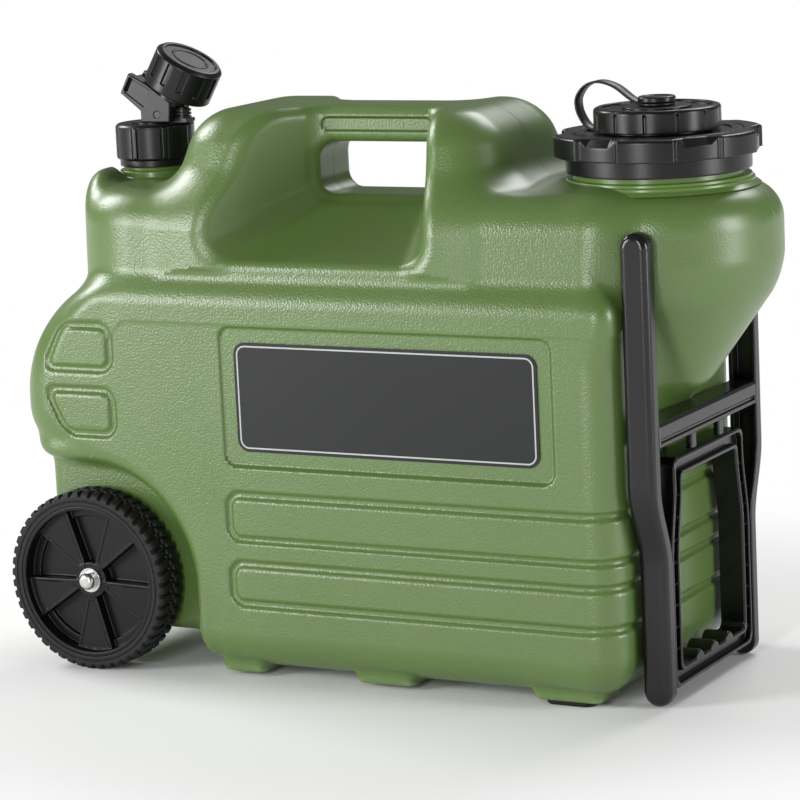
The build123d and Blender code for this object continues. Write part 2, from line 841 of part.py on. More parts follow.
def tap_collar():
    """Ribbed nut that holds the tap on its neck."""
    inside = tap_neck_radius + thread_gap
    grip = lobed(collar_radius, collar_radius - collar_rib_depth, collar_ribs, flute_share)
    nut = block_z(Pos(tap_place, 0) * grip, collar_bottom, collar_top)
    nut += disc_z(inside + collar_skirt_wall, tap_place, collar_bottom - collar_skirt, collar_bottom)
    nut -= disc_z(inside, tap_place, 0, collar_top - collar_plate)
    return nut - disc_z(turret_radius + thread_gap, tap_place, 0, crown_height)


def tap_seal():
    """Flat ring between the tap's neck and its base."""
    return ring_z(tap_neck_radius - seal_margin, tap_bore + seal_margin, tap_place, tap_neck_top, tap_flange_bottom)


def tap_base():
    """Flange, turret and lug that carry the tap head, with the ledge of the sleeve."""
    head_bottom = pin_height - head_foot
    base = disc_z(tap_neck_radius - thread_gap, tap_place, tap_flange_bottom, tap_flange_top)
    base += disc_z(turret_radius, tap_place, tap_flange_bottom, head_bottom)
    base += disc_z(tap_bore - seat_gap, tap_place, tap_neck_top - 2 * seal_thickness, tap_flange_bottom)
    half = lug_width / 2
    back = pin_place - lug_back
    ledge = tap_place + sleeve_place + sleeve_radius
    base += box_between((back, -half, collar_top + seat_gap), (ledge, half, collar_top + seat_gap + ledge_thickness))
    base += box_between((back, -half, collar_top), (pin_place + lug_front, half, pin_height + lug_top))
    base -= disc_z(water_bore, tap_place, 0, tap_flange_top)
    base -= rod_y(pin_radius, pin_place, pin_height, -head_width, head_width)
    return base - disc_z(sleeve_bore, tap_place + sleeve_place, collar_top, crown_height)


def tap_pin():
    """Cross pin that fixes the head on the lug."""
    half = head_width / 2 - seal_margin
    return rod_y(pin_radius, pin_place, pin_height, -half, half)


def tap_sleeve():
    """Ringed sleeve that stands on the ledge beside the lug."""
    x = tap_place + sleeve_place
    low = collar_top + seat_gap + ledge_thickness
    high = pin_height + head_foot - sleeve_groove
    pitch = (high - low) / sleeve_rings
    sleeve = disc_z(sleeve_radius - sleeve_groove, x, low, high)
    for number in range(sleeve_rings):
        sleeve += disc_z(sleeve_radius, x, low + number * pitch, low + (number + 0.6) * pitch)
    return sleeve - disc_z(sleeve_bore, x, low, high)


def tap_axis():
    """Plane whose normal is the axis of the knob, at the cross pin."""
    tilt = radians(head_tilt)
    return Plane(origin=(pin_place, 0, pin_height), x_dir=(cos(tilt), 0, -sin(tilt)), z_dir=(sin(tilt), 0, cos(tilt)))


def along_axis(face, start, end):
    """Solid along the knob's axis, from start to end past the cross pin."""
    return extrude(tap_axis().offset(start) * face, amount=end - start)


def across_axis(face, start, height, length):
    """Solid across the knob's axis, towards the spout's back, at a height past the cross pin."""
    plane = Plane(origin=tap_axis().from_local_coords(Vector(start, 0, height)), x_dir=(0, 1, 0),
                  z_dir=tap_axis().x_dir)
    return extrude(plane * face, amount=length)


def tap_head():
    """Bracket with the spout arm and the round housing of the valve."""
    place = Pos(pin_place, pin_height)
    side = make_face(Polyline(*head_outline, close=True)).face()
    head = block_y(place * side, head_width / 2)
    head += along_axis(Circle(housing_radius), housing_start, housing_end)
    half = lug_width / 2 + seat_gap
    head -= box_between((pin_place - lug_back - seat_gap, -half, 0),
                        (pin_place + head_width, half, pin_height + lug_top + seat_gap))
    head -= rod_y(pin_radius, pin_place, pin_height, -head_width, head_width)
    chamber_end = housing_start + plug_length + plug_play
    head -= along_axis(Circle(plug_radius + running_gap), housing_start - plug_play, chamber_end)
    head -= along_axis(Circle(stem_radius + running_gap), housing_start, knob_end)
    return head - across_axis(RectangleRounded(mouth_width, mouth_height, plug_play), -mouth_reach,
                              housing_start + plug_length / 4, mouth_reach)


def tap_spindle():
    """Valve plug and the stem that the knob turns."""
    start = housing_start + plug_play / 4
    spindle = along_axis(Circle(plug_radius), start, start + plug_length)
    spindle += along_axis(Circle(stem_radius), start + plug_length, knob_end - knob_plate)
    return spindle - across_axis(Circle(plug_port), -head_width, start + plug_length / 2, 2 * head_width)


def tap_knob():
    """Round knob with slots round its side and a dished top."""
    knob = along_axis(Circle(knob_radius), knob_start, knob_end)
    knob = fillet(knob.edges().filter_by(GeomType.CIRCLE), knob_edge)
    inside = knob_radius - knob_wall
    plate = knob_end - knob_plate
    knob -= along_axis(Circle(inside), knob_start - knob_edge, plate)
    knob -= along_axis(Circle(inside - knob_edge), knob_end - knob_dish, knob_end)
    knob += along_axis(Circle(knob_boss), housing_end + seat_gap, plate)
    knob -= along_axis(Circle(stem_radius), knob_start, plate)
    for number in range(knob_slots):
        turn = (number + 0.5) * 360 / knob_slots
        slot = Rot(0, 0, turn) * Pos(knob_radius, 0) * Rectangle(2 * knob_slot_depth, knob_slot_width)
        knob -= along_axis(slot, knob_start + knob_height / 3, knob_end - knob_height / 5)
    return knob


def arm():
    """Front arm of the pull frame: a channel, open inwards, with round bosses at both ends."""
    upper = arm_upper_spread - arm_thickness / 2
    lower = arm_lower_spread - arm_thickness / 2
    x = frame_middle
    radius = frame_depth / 2
    end_height = arm_bottom + radius
    route = FilletPolyline(
        (x, -upper, frame_pivot_height), (x, -upper, arm_jog_top), (x, -lower, arm_jog_bottom),
        (x, -lower, end_height), radius=arm_bend)
    section = RectangleRounded(frame_depth, arm_thickness, arm_edge)
    section += Pos(0, -arm_thickness / 4) * Rectangle(frame_depth, arm_thickness / 2)
    section -= Pos(0, -arm_wall) * Rectangle(frame_depth - 2 * arm_wall, arm_thickness)
    start = Plane(origin=(x, -upper, frame_pivot_height), x_dir=(1, 0, 0), z_dir=(0, 0, -1))
    solid = sweep(start * section, path=route)
    for height, spread in ((frame_pivot_height, arm_upper_spread), (end_height, arm_lower_spread)):
        boss = rod_y(radius, x, height, -spread, -spread + arm_thickness)
        solid += fillet(boss.edges().sort_by(Axis.Y)[0], arm_edge)
    return solid


def pull_frame():
    """Two arms joined by the cross bar, with two catches that hold the folded handle."""
    bar_half = arm_upper_spread - arm_thickness + seal_margin
    high = cross_bar_bottom + cross_bar_height
    skin = arm_wall
    frame = box_between((frame_left, -bar_half, cross_bar_bottom), (frame_right, bar_half, high))
    frame -= box_between((frame_left + skin, skin - bar_half, 0), (frame_right - skin, bar_half - skin, high - skin))
    groove = cross_bar_bottom + skin
    frame -= box_between((frame_right - skin / 2, skin - bar_half, groove),
                         (frame_right, bar_half - skin, groove + cross_bar_groove))
    for y in (-catch_spread, catch_spread):
        frame += box_between((frame_right - 2 * skin, y - catch_width / 2, loop_top + 2 * seat_gap),
                             (frame_right - skin / 2, y + catch_width / 2, groove))
    for solid in both_sides(arm()):
        frame += solid
    for y in (-1, 1):
        frame -= rod_y(frame_pin_radius, frame_middle, frame_pivot_height, 0, y * (arm_upper_spread - arm_wall))
        frame -= rod_y(handle_pin_radius, frame_middle, handle_pivot_height, 0, y * (arm_lower_spread - arm_wall))
    return frame


def frame_pins():
    """Pivot pins between the arms and the sides of the tank."""
    inner = chin_radius - frame_pin_seat + seat_gap
    pin = rod_y(frame_pin_radius, frame_middle, frame_pivot_height, arm_wall - arm_upper_spread, -inner)
    return group(both_sides(pin), "frame_pins")


def handle_pins():
    """Pivot pins between the arms and the pull handle."""
    inner = loop_lower_spread - handle_pin_seat + seat_gap
    pin = rod_y(handle_pin_radius, frame_middle, handle_pivot_height, arm_wall - arm_lower_spread, -inner)
    return group(both_sides(pin), "handle_pins")


def loop_outline(move_in, corner):
    """Outline of the pull handle's loop, moved in from its outer edge."""
    narrow = loop_upper_spread - move_in
    wide = loop_lower_spread - move_in
    top = loop_top - move_in
    bottom = loop_bottom + move_in
    points = [(-wide, bottom), (wide, bottom), (wide, arm_jog_bottom), (narrow, arm_jog_top), (narrow, top),
              (-narrow, top), (-narrow, arm_jog_top), (-wide, arm_jog_bottom)]
    bend = loop_bend
    top_corner = corner / 2
    return outline(points, [corner, corner, bend, bend / 2, top_corner, top_corner, bend / 2, bend])


def loop_ribs(right):
    """Small ribs across the groove, on the straight lower stretch of both sides."""
    ribs = []
    low = loop_bottom + 2 * loop_bar
    outer = loop_lower_spread - loop_rib
    inner = loop_lower_spread - loop_bar + loop_rib
    count = int((arm_jog_bottom - loop_bend - low) / loop_rib_pitch) + 1
    for number in range(count):
        height = low + number * loop_rib_pitch
        ribs += both_sides(box_between((right - loop_groove_depth - loop_rib, -outer, height),
                                       (right - loop_rib, -inner, height + loop_rib)))
    return ribs


def pull_handle():
    """Closed loop with a finger grip on its wide bar."""
    left = frame_left + loop_front_gap
    right = frame_right - loop_front_gap
    loop = block_x(Sketch() + loop_outline(0, loop_corner) - loop_outline(loop_bar, loop_corner), left, right)
    bar_top = loop_bottom + loop_bar
    for number in range(grip_bumps):
        y = (number - (grip_bumps - 1) / 2) * grip_bump_pitch
        bump = Pos(y, bar_top) * Ellipse(grip_bump_pitch * 0.38, grip_bump_height)
        loop += block_x(bump & Pos(y, bar_top + loop_bar / 2) * Rectangle(grip_bump_pitch, loop_bar + seat_gap),
                        left, right)
    groove = Sketch() + loop_outline(loop_lip, loop_corner) - loop_outline(loop_bar - loop_lip, loop_corner)
    loop -= block_x(groove, right - loop_groove_depth, right)
    for rib in loop_ribs(right):
        loop += rib
    start = loop_lower_spread - handle_pin_seat
    for y in (-1, 1):
        loop -= rod_y(handle_pin_radius + running_gap, frame_middle, handle_pivot_height, y * start, y * half_width)
    return loop


def save(shape, name):
    """Write one named piece."""
    if not isinstance(shape, Compound) or len(shape.solids()) == 1:
        shape = shape.solid()
    shape.label = name
    export_step(shape, f"parts/{name}.step")


os.makedirs("parts", exist_ok=True)
front_hub = wheel_hub()
front_tyre = tyre()
pieces = {
    **tank_pieces(),
    "label_plate": label_plate(),
    "rubber_feet": rubber_feet(),
    "axle": axle(),
    "axle_bushes": axle_bushes(),
    "axle_washers": axle_washers(),
    "axle_nuts": axle_nuts(),
    "wheel_hub_front": front_hub,
    "tyre_front": front_tyre,
    "wheel_hub_rear": mirror(front_hub, about=Plane.XZ),
    "tyre_rear": mirror(front_tyre, about=Plane.XZ),
    "filler_cap": filler_cap(),
    "filler_seal": filler_seal(),
    "small_cap": small_cap(),
    "small_seal": small_seal(),
    "cap_button": cap_button(),
    "cap_strap": cap_strap(),
    "tap_collar": tap_collar(),
    "tap_seal": tap_seal(),
    "tap_base": tap_base(),
    "tap_pin": tap_pin(),
    "tap_sleeve": tap_sleeve(),
    "tap_head": tap_head(),
    "tap_spindle": tap_spindle(),
    "tap_knob": tap_knob(),
    "pull_frame": pull_frame(),
    "frame_pins": frame_pins(),
    "pull_handle": pull_handle(),
    "handle_pins": handle_pins(),
}
for name, shape in pieces.items():
    save(shape, name)
capacity = tank_form(wall).volume / 1e6
print(f"space inside the shell, without the necks: {capacity:.1f} litres")
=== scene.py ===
import json

import bpy
import numpy as np
from mathutils import Matrix, Vector

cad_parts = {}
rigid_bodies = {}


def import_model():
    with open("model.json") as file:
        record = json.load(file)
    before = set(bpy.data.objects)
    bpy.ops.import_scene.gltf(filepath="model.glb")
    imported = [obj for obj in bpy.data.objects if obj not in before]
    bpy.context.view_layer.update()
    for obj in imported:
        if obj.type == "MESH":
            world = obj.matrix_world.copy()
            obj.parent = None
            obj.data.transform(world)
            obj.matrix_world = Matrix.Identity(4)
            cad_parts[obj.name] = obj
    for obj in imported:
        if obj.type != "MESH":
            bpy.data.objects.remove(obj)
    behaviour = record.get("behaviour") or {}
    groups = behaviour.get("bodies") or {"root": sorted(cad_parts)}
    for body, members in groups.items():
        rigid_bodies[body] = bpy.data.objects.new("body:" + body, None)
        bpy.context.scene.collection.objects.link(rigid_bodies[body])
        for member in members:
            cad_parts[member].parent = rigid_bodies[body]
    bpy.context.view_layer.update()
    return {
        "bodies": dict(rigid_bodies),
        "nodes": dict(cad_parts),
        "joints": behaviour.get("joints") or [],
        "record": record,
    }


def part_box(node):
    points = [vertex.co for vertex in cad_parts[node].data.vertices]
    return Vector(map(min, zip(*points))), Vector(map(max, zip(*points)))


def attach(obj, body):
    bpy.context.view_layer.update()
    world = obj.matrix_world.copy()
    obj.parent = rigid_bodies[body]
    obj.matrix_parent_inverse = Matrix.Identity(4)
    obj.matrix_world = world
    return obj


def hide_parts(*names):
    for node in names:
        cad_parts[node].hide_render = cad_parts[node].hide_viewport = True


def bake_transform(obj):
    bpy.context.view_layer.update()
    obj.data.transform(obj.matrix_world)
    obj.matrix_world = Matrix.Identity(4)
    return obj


# Wheeled water container. Lengths are in millimetres and angles in degrees; meshes are made in metres.
# X runs from the wheels to the filler cap, Y across, with the label on the -Y side, and Z up.

MM = 0.001
HALF_RIGHT = 0.7071

# Tank. A zone gives the two ends of a gradual change, the first where it starts.
BODY_LEFT = -263.5
BODY_RIGHT = 198.0
BODY_HALF = 104.75
BODY_BOTTOM = 7.7
BODY_LOW_CORNER = 10.0
BODY_ROUND = 28.0
BODY_FOOT_ZONE = (95.0, 35.0)
CORNER_ROUND = 25.0
CORNER_ZONE = (110.0, 178.0)
CORNER_HEIGHTS = (262.0, 225.0)
BULGE_ROUND = 32.0
BULGE_ZONE = (-185.0, -235.0)
SHOULDER = 274.0
SHOULDER_ROUND = 13.5
SHOULDER_HOLLOW = 11.0
LEFT_ROUND = 84.0
DECK = 336.5
CROWN_TOP = 388.5
CROWN_LEFT = -165.0
CROWN_RIGHT = 118.0
CROWN_LEAN = 22.0
CROWN_CORNER = 62.0
CROWN_HALF = 94.5
CROWN_FOOT = 311.5
CROWN_ROUND = 22.0
CROWN_HOLLOW = 17.0
CROWN_SUNK = 20.0
WHEEL_X = -208.0
HUB_Z = 63.5
WHEEL_RADIUS = 63.5
WAIST_HALF = 79.0
WAIST_RIGHT = -95.0
WAIST_BOTTOM = 24.0
WAIST_CORNER = 34.0
WAIST_EDGE = 14.0
WAIST_HOLLOW = 9.0
WAIST_SETBACK = 8.0
WAIST_ZONE = (172.0, 136.0)
ARCH_RADIUS = 82.5
ARCH_MOUTH = (38.0, 28.0)
ARCH_EDGE = 13.0
ARCH_REACH = (22.0, 4.0)
ARCH_ZONE = (-80.0, -120.0)
UPPER_LEFT = -230.0
UPPER_HALF = 97.25
UPPER_CORNER = 66.0
UPPER_ROUND = 25.0
UPPER_LEAN = 3.75
UPPER_FOOT = 240.0
UPPER_DEPTHS = (258.0, 222.0)
UPPER_DEPTH_ZONE = (-165.0, -205.0)
RIM_RISE = 9.0
RIM_ROUND = 14.0
RIM_REACH = (27.0, 36.0)
RIM_ZONE = (-196.0, -216.0)
RIM_SIDES = (82.0, 40.0)
FILLER_X = 190.5
TAP_X = -198.5
CHIN_RADIUS = 81.0
CHIN_BOTTOM = 193.0
CHIN_BASE = 22.0
CHIN_FLANK = (0.812, 0.584)
CHIN_BELLY = 10.0
CHIN_FOOT = 16.0
CHIN_HOLLOW = 16.0
GRIP_LEFT = -54.0
GRIP_RIGHT = 38.5
GRIP_FLOOR = 328.0
GRIP_ROOF = 363.5
GRIP_HALF = 22.25
GRIP_CORNER = 11.6
GRIP_EDGE = 7.0
GRIP_SLOT = (-50.0, 34.5, 371.7, 380.3)
GRIP_SLOT_CORNER = 4.3
GRIP_SLOT_DEPTH = 1.6
SCOOP_SPREAD_LEFT = 54.0
SCOOP_SPREAD_RIGHT = 27.0
SCOOP_DROP = 42.5
SCOOP_CORNER = 21.0
SCOOP_EDGE = 9.0
PRESS_DEPTH = 2.4
PRESS_GROOVE = 5.8
LABEL = (-92.0, 156.0, 151.5, 247.5)
LABEL_CORNER = 8.6
LABEL_MIDDLE = (32.0, 199.5)
LABEL_HALF = (113.5, 37.5)
LABEL_LINE = 2.6
RIB_LEFT = -94.0
RIB_ROWS = ((53.0, 86.5), (98.0, 134.5))
RIB_CORNER = 11.6
PAD_LEFT = -239.5
PAD_RIGHT = -178.0
PAD_ROWS = ((211.0, 247.5, 0.0, 18.0), (165.5, 202.0, 18.0, 0.0))
FOOT_PLACES = ((-94.5, 34.0), (16.0, 45.0), (152.0, 50.0))
FOOT_NEAR = 54.25
FOOT_FAR = 92.25
FOOT_LEVEL = 3.2
FOOT_CORNER = 6.0
FOOT_ROUND = 3.0
FOOT_TOP = 30.0

# Caps, from the ground and from their own axes
SCREW_GAP = 0.4
NECK_RADIUS = 56.0
CAP_BOTTOM = 345.6
CAP_STEP = 356.8
CAP_PLATE = 366.7
CAP_TOP = 371.5
CAP_SKIRT = 61.4
CAP_RADIUS = 69.0
CAP_VALLEY = 66.0
CAP_LOBES = 6
CAP_TURN = 0.236
LOBE_SIDE = (0.312, 0.262)
BEVEL = (1.3, 5.0)
BEVEL_SIDE = (0.290, 0.400)
DISH_RADIUS = 48.0
RING_RADIUS = 55.5
SPOUT_RADIUS = 35.0
SPOUT_BORE = 30.0
SPOUT_TOP = 380.1
SMALL_BOTTOM = 372.5
SMALL_PLATE = 382.1
SMALL_TOP = 387.5
SMALL_RADIUS = 42.0
SMALL_FLUTES = 12
SMALL_TURN = 0.05
SMALL_BULGE = 0.45
SMALL_GROOVE = 1.15
SMALL_DISH = (22.8, 36.4)
SMALL_DISH_DEPTH = 2.0
BUTTON_RADIUS = 12.5
BUTTON_DISH = 8.6
BUTTON_LEVELS = (389.7, 393.7)
STEM_RADIUS = 3.0
STEM_LEVELS = (379.2, 391.0)
FLANGE_RADIUS = 6.0
FLANGE_LEVELS = (379.1, 381.8)
STRAP_WIDTH = 11.4
STRAP_HALF = 0.8
STRAP_EDGE = 0.5
STRAP_STEPS = 12
EYE_SECTION = ((3.4, 387.9), (11.6, 387.9), (12.1, 388.3),
               (12.1, 389.1), (11.6, 389.5), (3.4, 389.5))
EYE_TURNS = 48
STRAP_ROUTE = ((-6.0, 388.7), (-11.0, 388.9), (-18.0, 392.3), (-29.0, 400.0), (-40.5, 403.0),
               (-50.0, 400.2), (-56.0, 392.5), (-56.0, 384.5), (-53.0, 377.8), (-50.0, 374.0),
               (-46.8, 372.0), (-43.5, 371.35))

# Tap
COLLAR_BOTTOM = 349.0
COLLAR_TOP = 374.0
COLLAR_RADIUS = 28.5
COLLAR_PLATE = 370.2
COLLAR_SKIRT = (25.9, 344.2)
COLLAR_RIBS = 8
FACET_DIP = 0.55
GROOVE_DIP = 0.75
TAP_NECK = 23.5
TURRET = 16.5
PIN_X = -187.9
PIN_Z = 380.3
HEAD_HALF = 13.5
TAP_LEAN = (0.5, 0.866)
HEAD_OUTLINE = ((-13.5, -5.4), (10.0, -5.4), (11.4, 8.5), (-5.9, 20.7), (-22.0, 29.4),
                (-29.5, 15.4), (-13.5, 2.8))
HEAD_PANEL = ((-10.5, 5.5), (-4.5, 17.0), (-20.5, 25.6), (-25.7, 16.0))
HEAD_SLOT = (-31.5, -28.9, 2.0, 12.6)
HEAD_SLOT_DEPTH = 3.0
HOUSING_RADIUS = 13.5
HOUSING_ENDS = (12.5, 25.0)
VALVE_RADIUS = 8.05
VALVE_ENDS = (11.3, 23.7)
LUG_HALF = 6.3
LUG_TOP = 6.6
LUG_BACK = -9.0
PIN_RADIUS = 2.5
MOUTH_HALF = 7.75
MOUTH_RISE = 3.4
KNOB_RADIUS = 24.6
KNOB_INSIDE = 20.8
KNOB_START = 19.0
KNOB_PLATE = 38.5
KNOB_END = 45.0
KNOB_BEVEL = 2.6
KNOB_SLOTS = 12
KNOB_SLOT = (-2.1, 2.1, 25.6, 41.4)
KNOB_SLOT_DEPTH = 1.5
KNOB_DISH = 19.2
KNOB_RING = 12.6
KNOB_BOSS = (6.5, 25.3)
SPINDLE_RADIUS = 3.5

# Wheels, as depth from the tyre's inner edge
TYRE_INNER = 82.8
TYRE_WIDTH = 27.0
RIM_RADIUS = 53.9
TREAD_BLOCKS = 48
TREAD_DEPTH = 2.0
TREAD_ROUND = 3.4
BEAD_RADIUS = 57.2
RIM_WIDTH = 26.7
RIM_WALL = 3.0
HUB_PLANE = (9.6, 13.6)
HUB_STEP = 44.9
HUB_STEP_FACE = 16.6
BOSS_RADIUS = 12.6
BORE_RADIUS = 5.05
SPOKES = 5
SPOKE_TURN = 54
SPOKE_HALF = 16.5
SPOKE_REACH = 52.5
SPOKE_FACE = 21.2
SPOKE_INSET = (15.0, 49.8)

# Pull frame and pull handle
FRAME_LEFT = 201.0
FRAME_RIGHT = 221.0
FRAME_X = 211.0
PIVOT_Z = 305.5
ARM_UPPER = 87.3
ARM_LOWER = 72.7
ARM_HALF = 5.8
JOG_TOP = 144.5
JOG_BOTTOM = 99.0
BAR_LOW = 175.0
BAR_HIGH = 190.5
LOOP_LEFT = 201.7
LOOP_RIGHT = 220.3
LOOP_UPPER = 58.5
LOOP_LOWER = 66.1
LOOP_TOP = 163.5
LOOP_BOTTOM = 10.6
LOOP_BAR = 13.0
HINGE_Z = 15.5
ARM_END = 11.0
ARM_EDGE = 5.2
ARM_BOSS = 10.0
WALL = 3.0
BAR_HALF = 82.0
BAR_GROOVE = (3.0, 5.5)
CATCH_Y = 23.0
CATCH_BOTTOM = 164.3
HOLES = ((PIVOT_Z, ARM_UPPER, 5.0), (HINGE_Z, ARM_LOWER, 3.0))
WAVE_DEPTH = 4.8
WAVE_PITCH = 25.0
WAVE_REACH = 31.2
LOOP_CORNER = 7.0
LOOP_GROOVE = 4.4
LOOP_RIB_PITCH = 14.5
LOOP_RIB_START = 36.6
LOOP_RIB_ENDS = (30.0, 145.0)
LOOP_EYE = 56.9

# Turned necks, as radius, height and round of each corner
FILLER_NECK = ((67, 335, 0), (64.5, 336.8, 1), (63.2, 337.6, 0.6), (63.0, 339.6, 0.7),
               (61.4, 340.0, 0.5), (61.2, 342.0, 0.7), (56.6, 341.7, 0.4), (56, 342.2, 0),
               (56, 363.4, 0.6), (52, 363.4, 0.6), (52, 334, 0))
TAP_NECK_PROFILE = ((29.5, 335, 0), (27.6, 336.8, 0.8), (26.5, 337.4, 0.5), (26.4, 341.4, 1.0),
                    (24.0, 341.6, 0.4), (23.5, 342.2, 0), (23.5, 363.2, 0.5), (18.5, 363.2, 0.5),
                    (18.5, 334, 0))

# Studio, in metres: place, aim, width, height and power of each lamp
LAMPS = (
    ("key_lamp", (-1.70, -1.85, 0.70), (0, 0, 0.2), 0.8, 1.2, 44),
    ("front_lamp", (0.30, -2.4, 0.70), (0, 0, 0.2), 0.25, 1.3, 24),
    ("left_lamp", (-2.2, 0.3, 1.7), (0, 0, 0.3), 0.9, 0.9, 36),
    ("back_lamp", (0.2, 1.7, 1.9), (0, 0, 0.3), 1.3, 0.8, 24),
    ("right_lamp", (2.5, 0.1, 0.6), (0.1, 0, 0.2), 0.7, 1.5, 36),
)
FLOOR_HALF = 14.0
FLOOR_ZONE = (0.27, 0.58)
AIR_LIGHT = 0.17
CAMERA_TURNS = (28.5, 10.4, -2.71)
CAMERA_AIM = (-0.0113, 0.0, 0.1815)
CAMERA_DISTANCE = 2.3777
CAMERA_LENS = 154.2


def step_up(low, high, value):
    """0 up to low, 1 from high on and a smooth rise between; the other way round when low is larger."""
    t = np.clip((value - low) / (high - low), 0.0, 1.0)
    return t * t * (3.0 - 2.0 * t)


def blend_to(a, b, part):
    """a where part is 0, b where it is 1."""
    return a + (b - a) * part


def meet(a, b, radius):
    """What both forms hold, with a round edge."""
    corner = np.hypot(np.maximum(a + radius, 0), np.maximum(b + radius, 0))
    return np.minimum(-radius, np.maximum(a, b)) + corner


def join(a, b, radius):
    """What either form holds, with a hollow round between them."""
    corner = np.hypot(np.maximum(radius - a, 0), np.maximum(radius - b, 0))
    return np.maximum(radius, np.minimum(a, b)) - corner


def cut(a, b, radius):
    """The first form without the second, with a round edge."""
    return meet(a, -b, radius)


def rounded(u, v, left, right, low, high, radius):
    """Distance to a rectangle with one radius, or with four from the lower left anticlockwise."""
    du = u - (left + right) / 2
    dv = v - (low + high) / 2
    if isinstance(radius, tuple):
        low_left, low_right, high_right, high_left = radius
        lower = np.where(du < 0, low_left, low_right)
        upper = np.where(du < 0, high_left, high_right)
        radius = np.where(dv < 0, lower, upper)
    qu = np.abs(du) - (right - left) / 2 + radius
    qv = np.abs(dv) - (high - low) / 2 + radius
    return np.minimum(np.maximum(qu, qv), 0) + np.hypot(np.maximum(qu, 0), np.maximum(qv, 0)) - radius


def slope(form, x, y, z, reach=0.2):
    """Unit normals of a form at some points, and how fast its value grows along them."""
    gx = form(x + reach, y, z) - form(x - reach, y, z)
    gy = form(x, y + reach, z) - form(x, y - reach, z)
    gz = form(x, y, z + reach) - form(x, y, z - reach)
    size = np.sqrt(gx * gx + gy * gy + gz * gz) + 1e-9
    return gx / size, gy / size, gz / size, size / (2 * reach)


def net(form, low, high, step):
    """Points and four-cornered faces round a form, from a grid that samples it."""
    axes = [np.arange(a - 1.5 * step, b + 2.5 * step, step) for a, b in zip(low, high)]
    value = form(axes[0][:, None, None], axes[1][None, :, None], axes[2][None, None, :]).astype(np.float32)
    shape = value.shape
    inside = value < 0
    cells, points, quads = [], [], []
    for axis in range(3):
        first = [slice(None)] * 3
        second = [slice(None)] * 3
        first[axis] = slice(None, -1)
        second[axis] = slice(1, None)
        crossing = inside[tuple(first)] != inside[tuple(second)]
        spot = np.argwhere(crossing)
        start = value[tuple(first)][crossing]
        end = value[tuple(second)][crossing]
        place = spot.astype(np.float64)
        place[:, axis] += start / (start - end)
        side, other = [a for a in range(3) if a != axis]
        ring = []
        for move_side, move_other in ((0, 0), (1, 0), (1, 1), (0, 1)):
            corner = spot.copy()
            corner[:, side] -= move_side
            corner[:, other] -= move_other
            ring.append(np.ravel_multi_index(corner.T, shape))
            cells.append(ring[-1])
            points.append(place)
        faces = np.stack(ring, 1)
        flip = inside[tuple(first)][crossing] == (axis == 1)
        faces[flip] = faces[flip][:, ::-1]
        quads.append(faces)
    names, where = np.unique(np.concatenate(cells), return_inverse=True)
    points = np.concatenate(points)
    count = np.bincount(where)
    mean = np.stack([np.bincount(where, points[:, a]) / count for a in range(3)], 1)
    faces = np.searchsorted(names, np.concatenate(quads))
    origin = np.array([a[0] for a in axes])
    return origin + mean * step, faces


def settle(form, points, faces, step):
    """The points evened out along the form and laid exactly on it."""
    for _ in range(3):
        nx, ny, nz, _ = slope(form, *points.T)
        normal = np.stack([nx, ny, nz], 1)
        total = np.zeros_like(points)
        count = np.zeros(len(points))
        for a, b in ((0, 1), (1, 2), (2, 3), (3, 0)):
            for here, there in ((a, b), (b, a)):
                for axis in range(3):
                    total[:, axis] += np.bincount(faces[:, here], points[faces[:, there], axis], len(points))
                count += np.bincount(faces[:, here], minlength=len(points))
        pull = total / count[:, None] - points
        pull -= normal * (pull * normal).sum(1)[:, None]
        points = points + 0.6 * pull
        for _ in range(2):
            nx, ny, nz, size = slope(form, *points.T)
            far = np.clip(form(*points.T) / size, -step, step)
            points = points - np.stack([nx, ny, nz], 1) * far[:, None]
    return points


def place_object(name, data):
    """Object in the scene."""
    holder = bpy.data.objects.new(name, data)
    bpy.context.scene.collection.objects.link(holder)
    return holder


def mesh_piece(name, points, faces, material, normals=None):
    """Object from points in millimetres, with smooth shading."""
    mesh = bpy.data.meshes.new(name)
    points = np.asarray(points, dtype=np.float64)
    if isinstance(faces, np.ndarray):
        mesh.vertices.add(len(points))
        mesh.vertices.foreach_set("co", (points * MM).astype(np.float32).ravel())
        sides = faces.shape[1]
        mesh.loops.add(faces.size)
        mesh.loops.foreach_set("vertex_index", faces.astype(np.int32).ravel())
        mesh.polygons.add(len(faces))
        mesh.polygons.foreach_set("loop_start", np.arange(0, faces.size, sides, dtype=np.int32))
        mesh.update(calc_edges=True)
    else:
        mesh.from_pydata([tuple(p) for p in points * MM], [], faces)
    mesh.validate()
    mesh.shade_smooth()
    if normals is not None:
        mesh.normals_split_custom_set_from_vertices(normals)
    mesh.materials.append(material)
    return place_object(name, mesh)


def formed(name, form, low, high, step, material):
    """Piece whose skin is the zero level of a form."""
    points, faces = net(form, low, high, step)
    points = settle(form, points, faces, step)
    nx, ny, nz, _ = slope(form, *points.T)
    return mesh_piece(name, points, faces, material, np.stack([nx, ny, nz], 1))


def groove_line(edge):
    """1 in the groove that runs inside an outline, 0 elsewhere."""
    groove = np.abs(edge + PRESS_GROOVE / 2) - PRESS_GROOVE / 2
    return step_up(1.3, -2.2, groove)


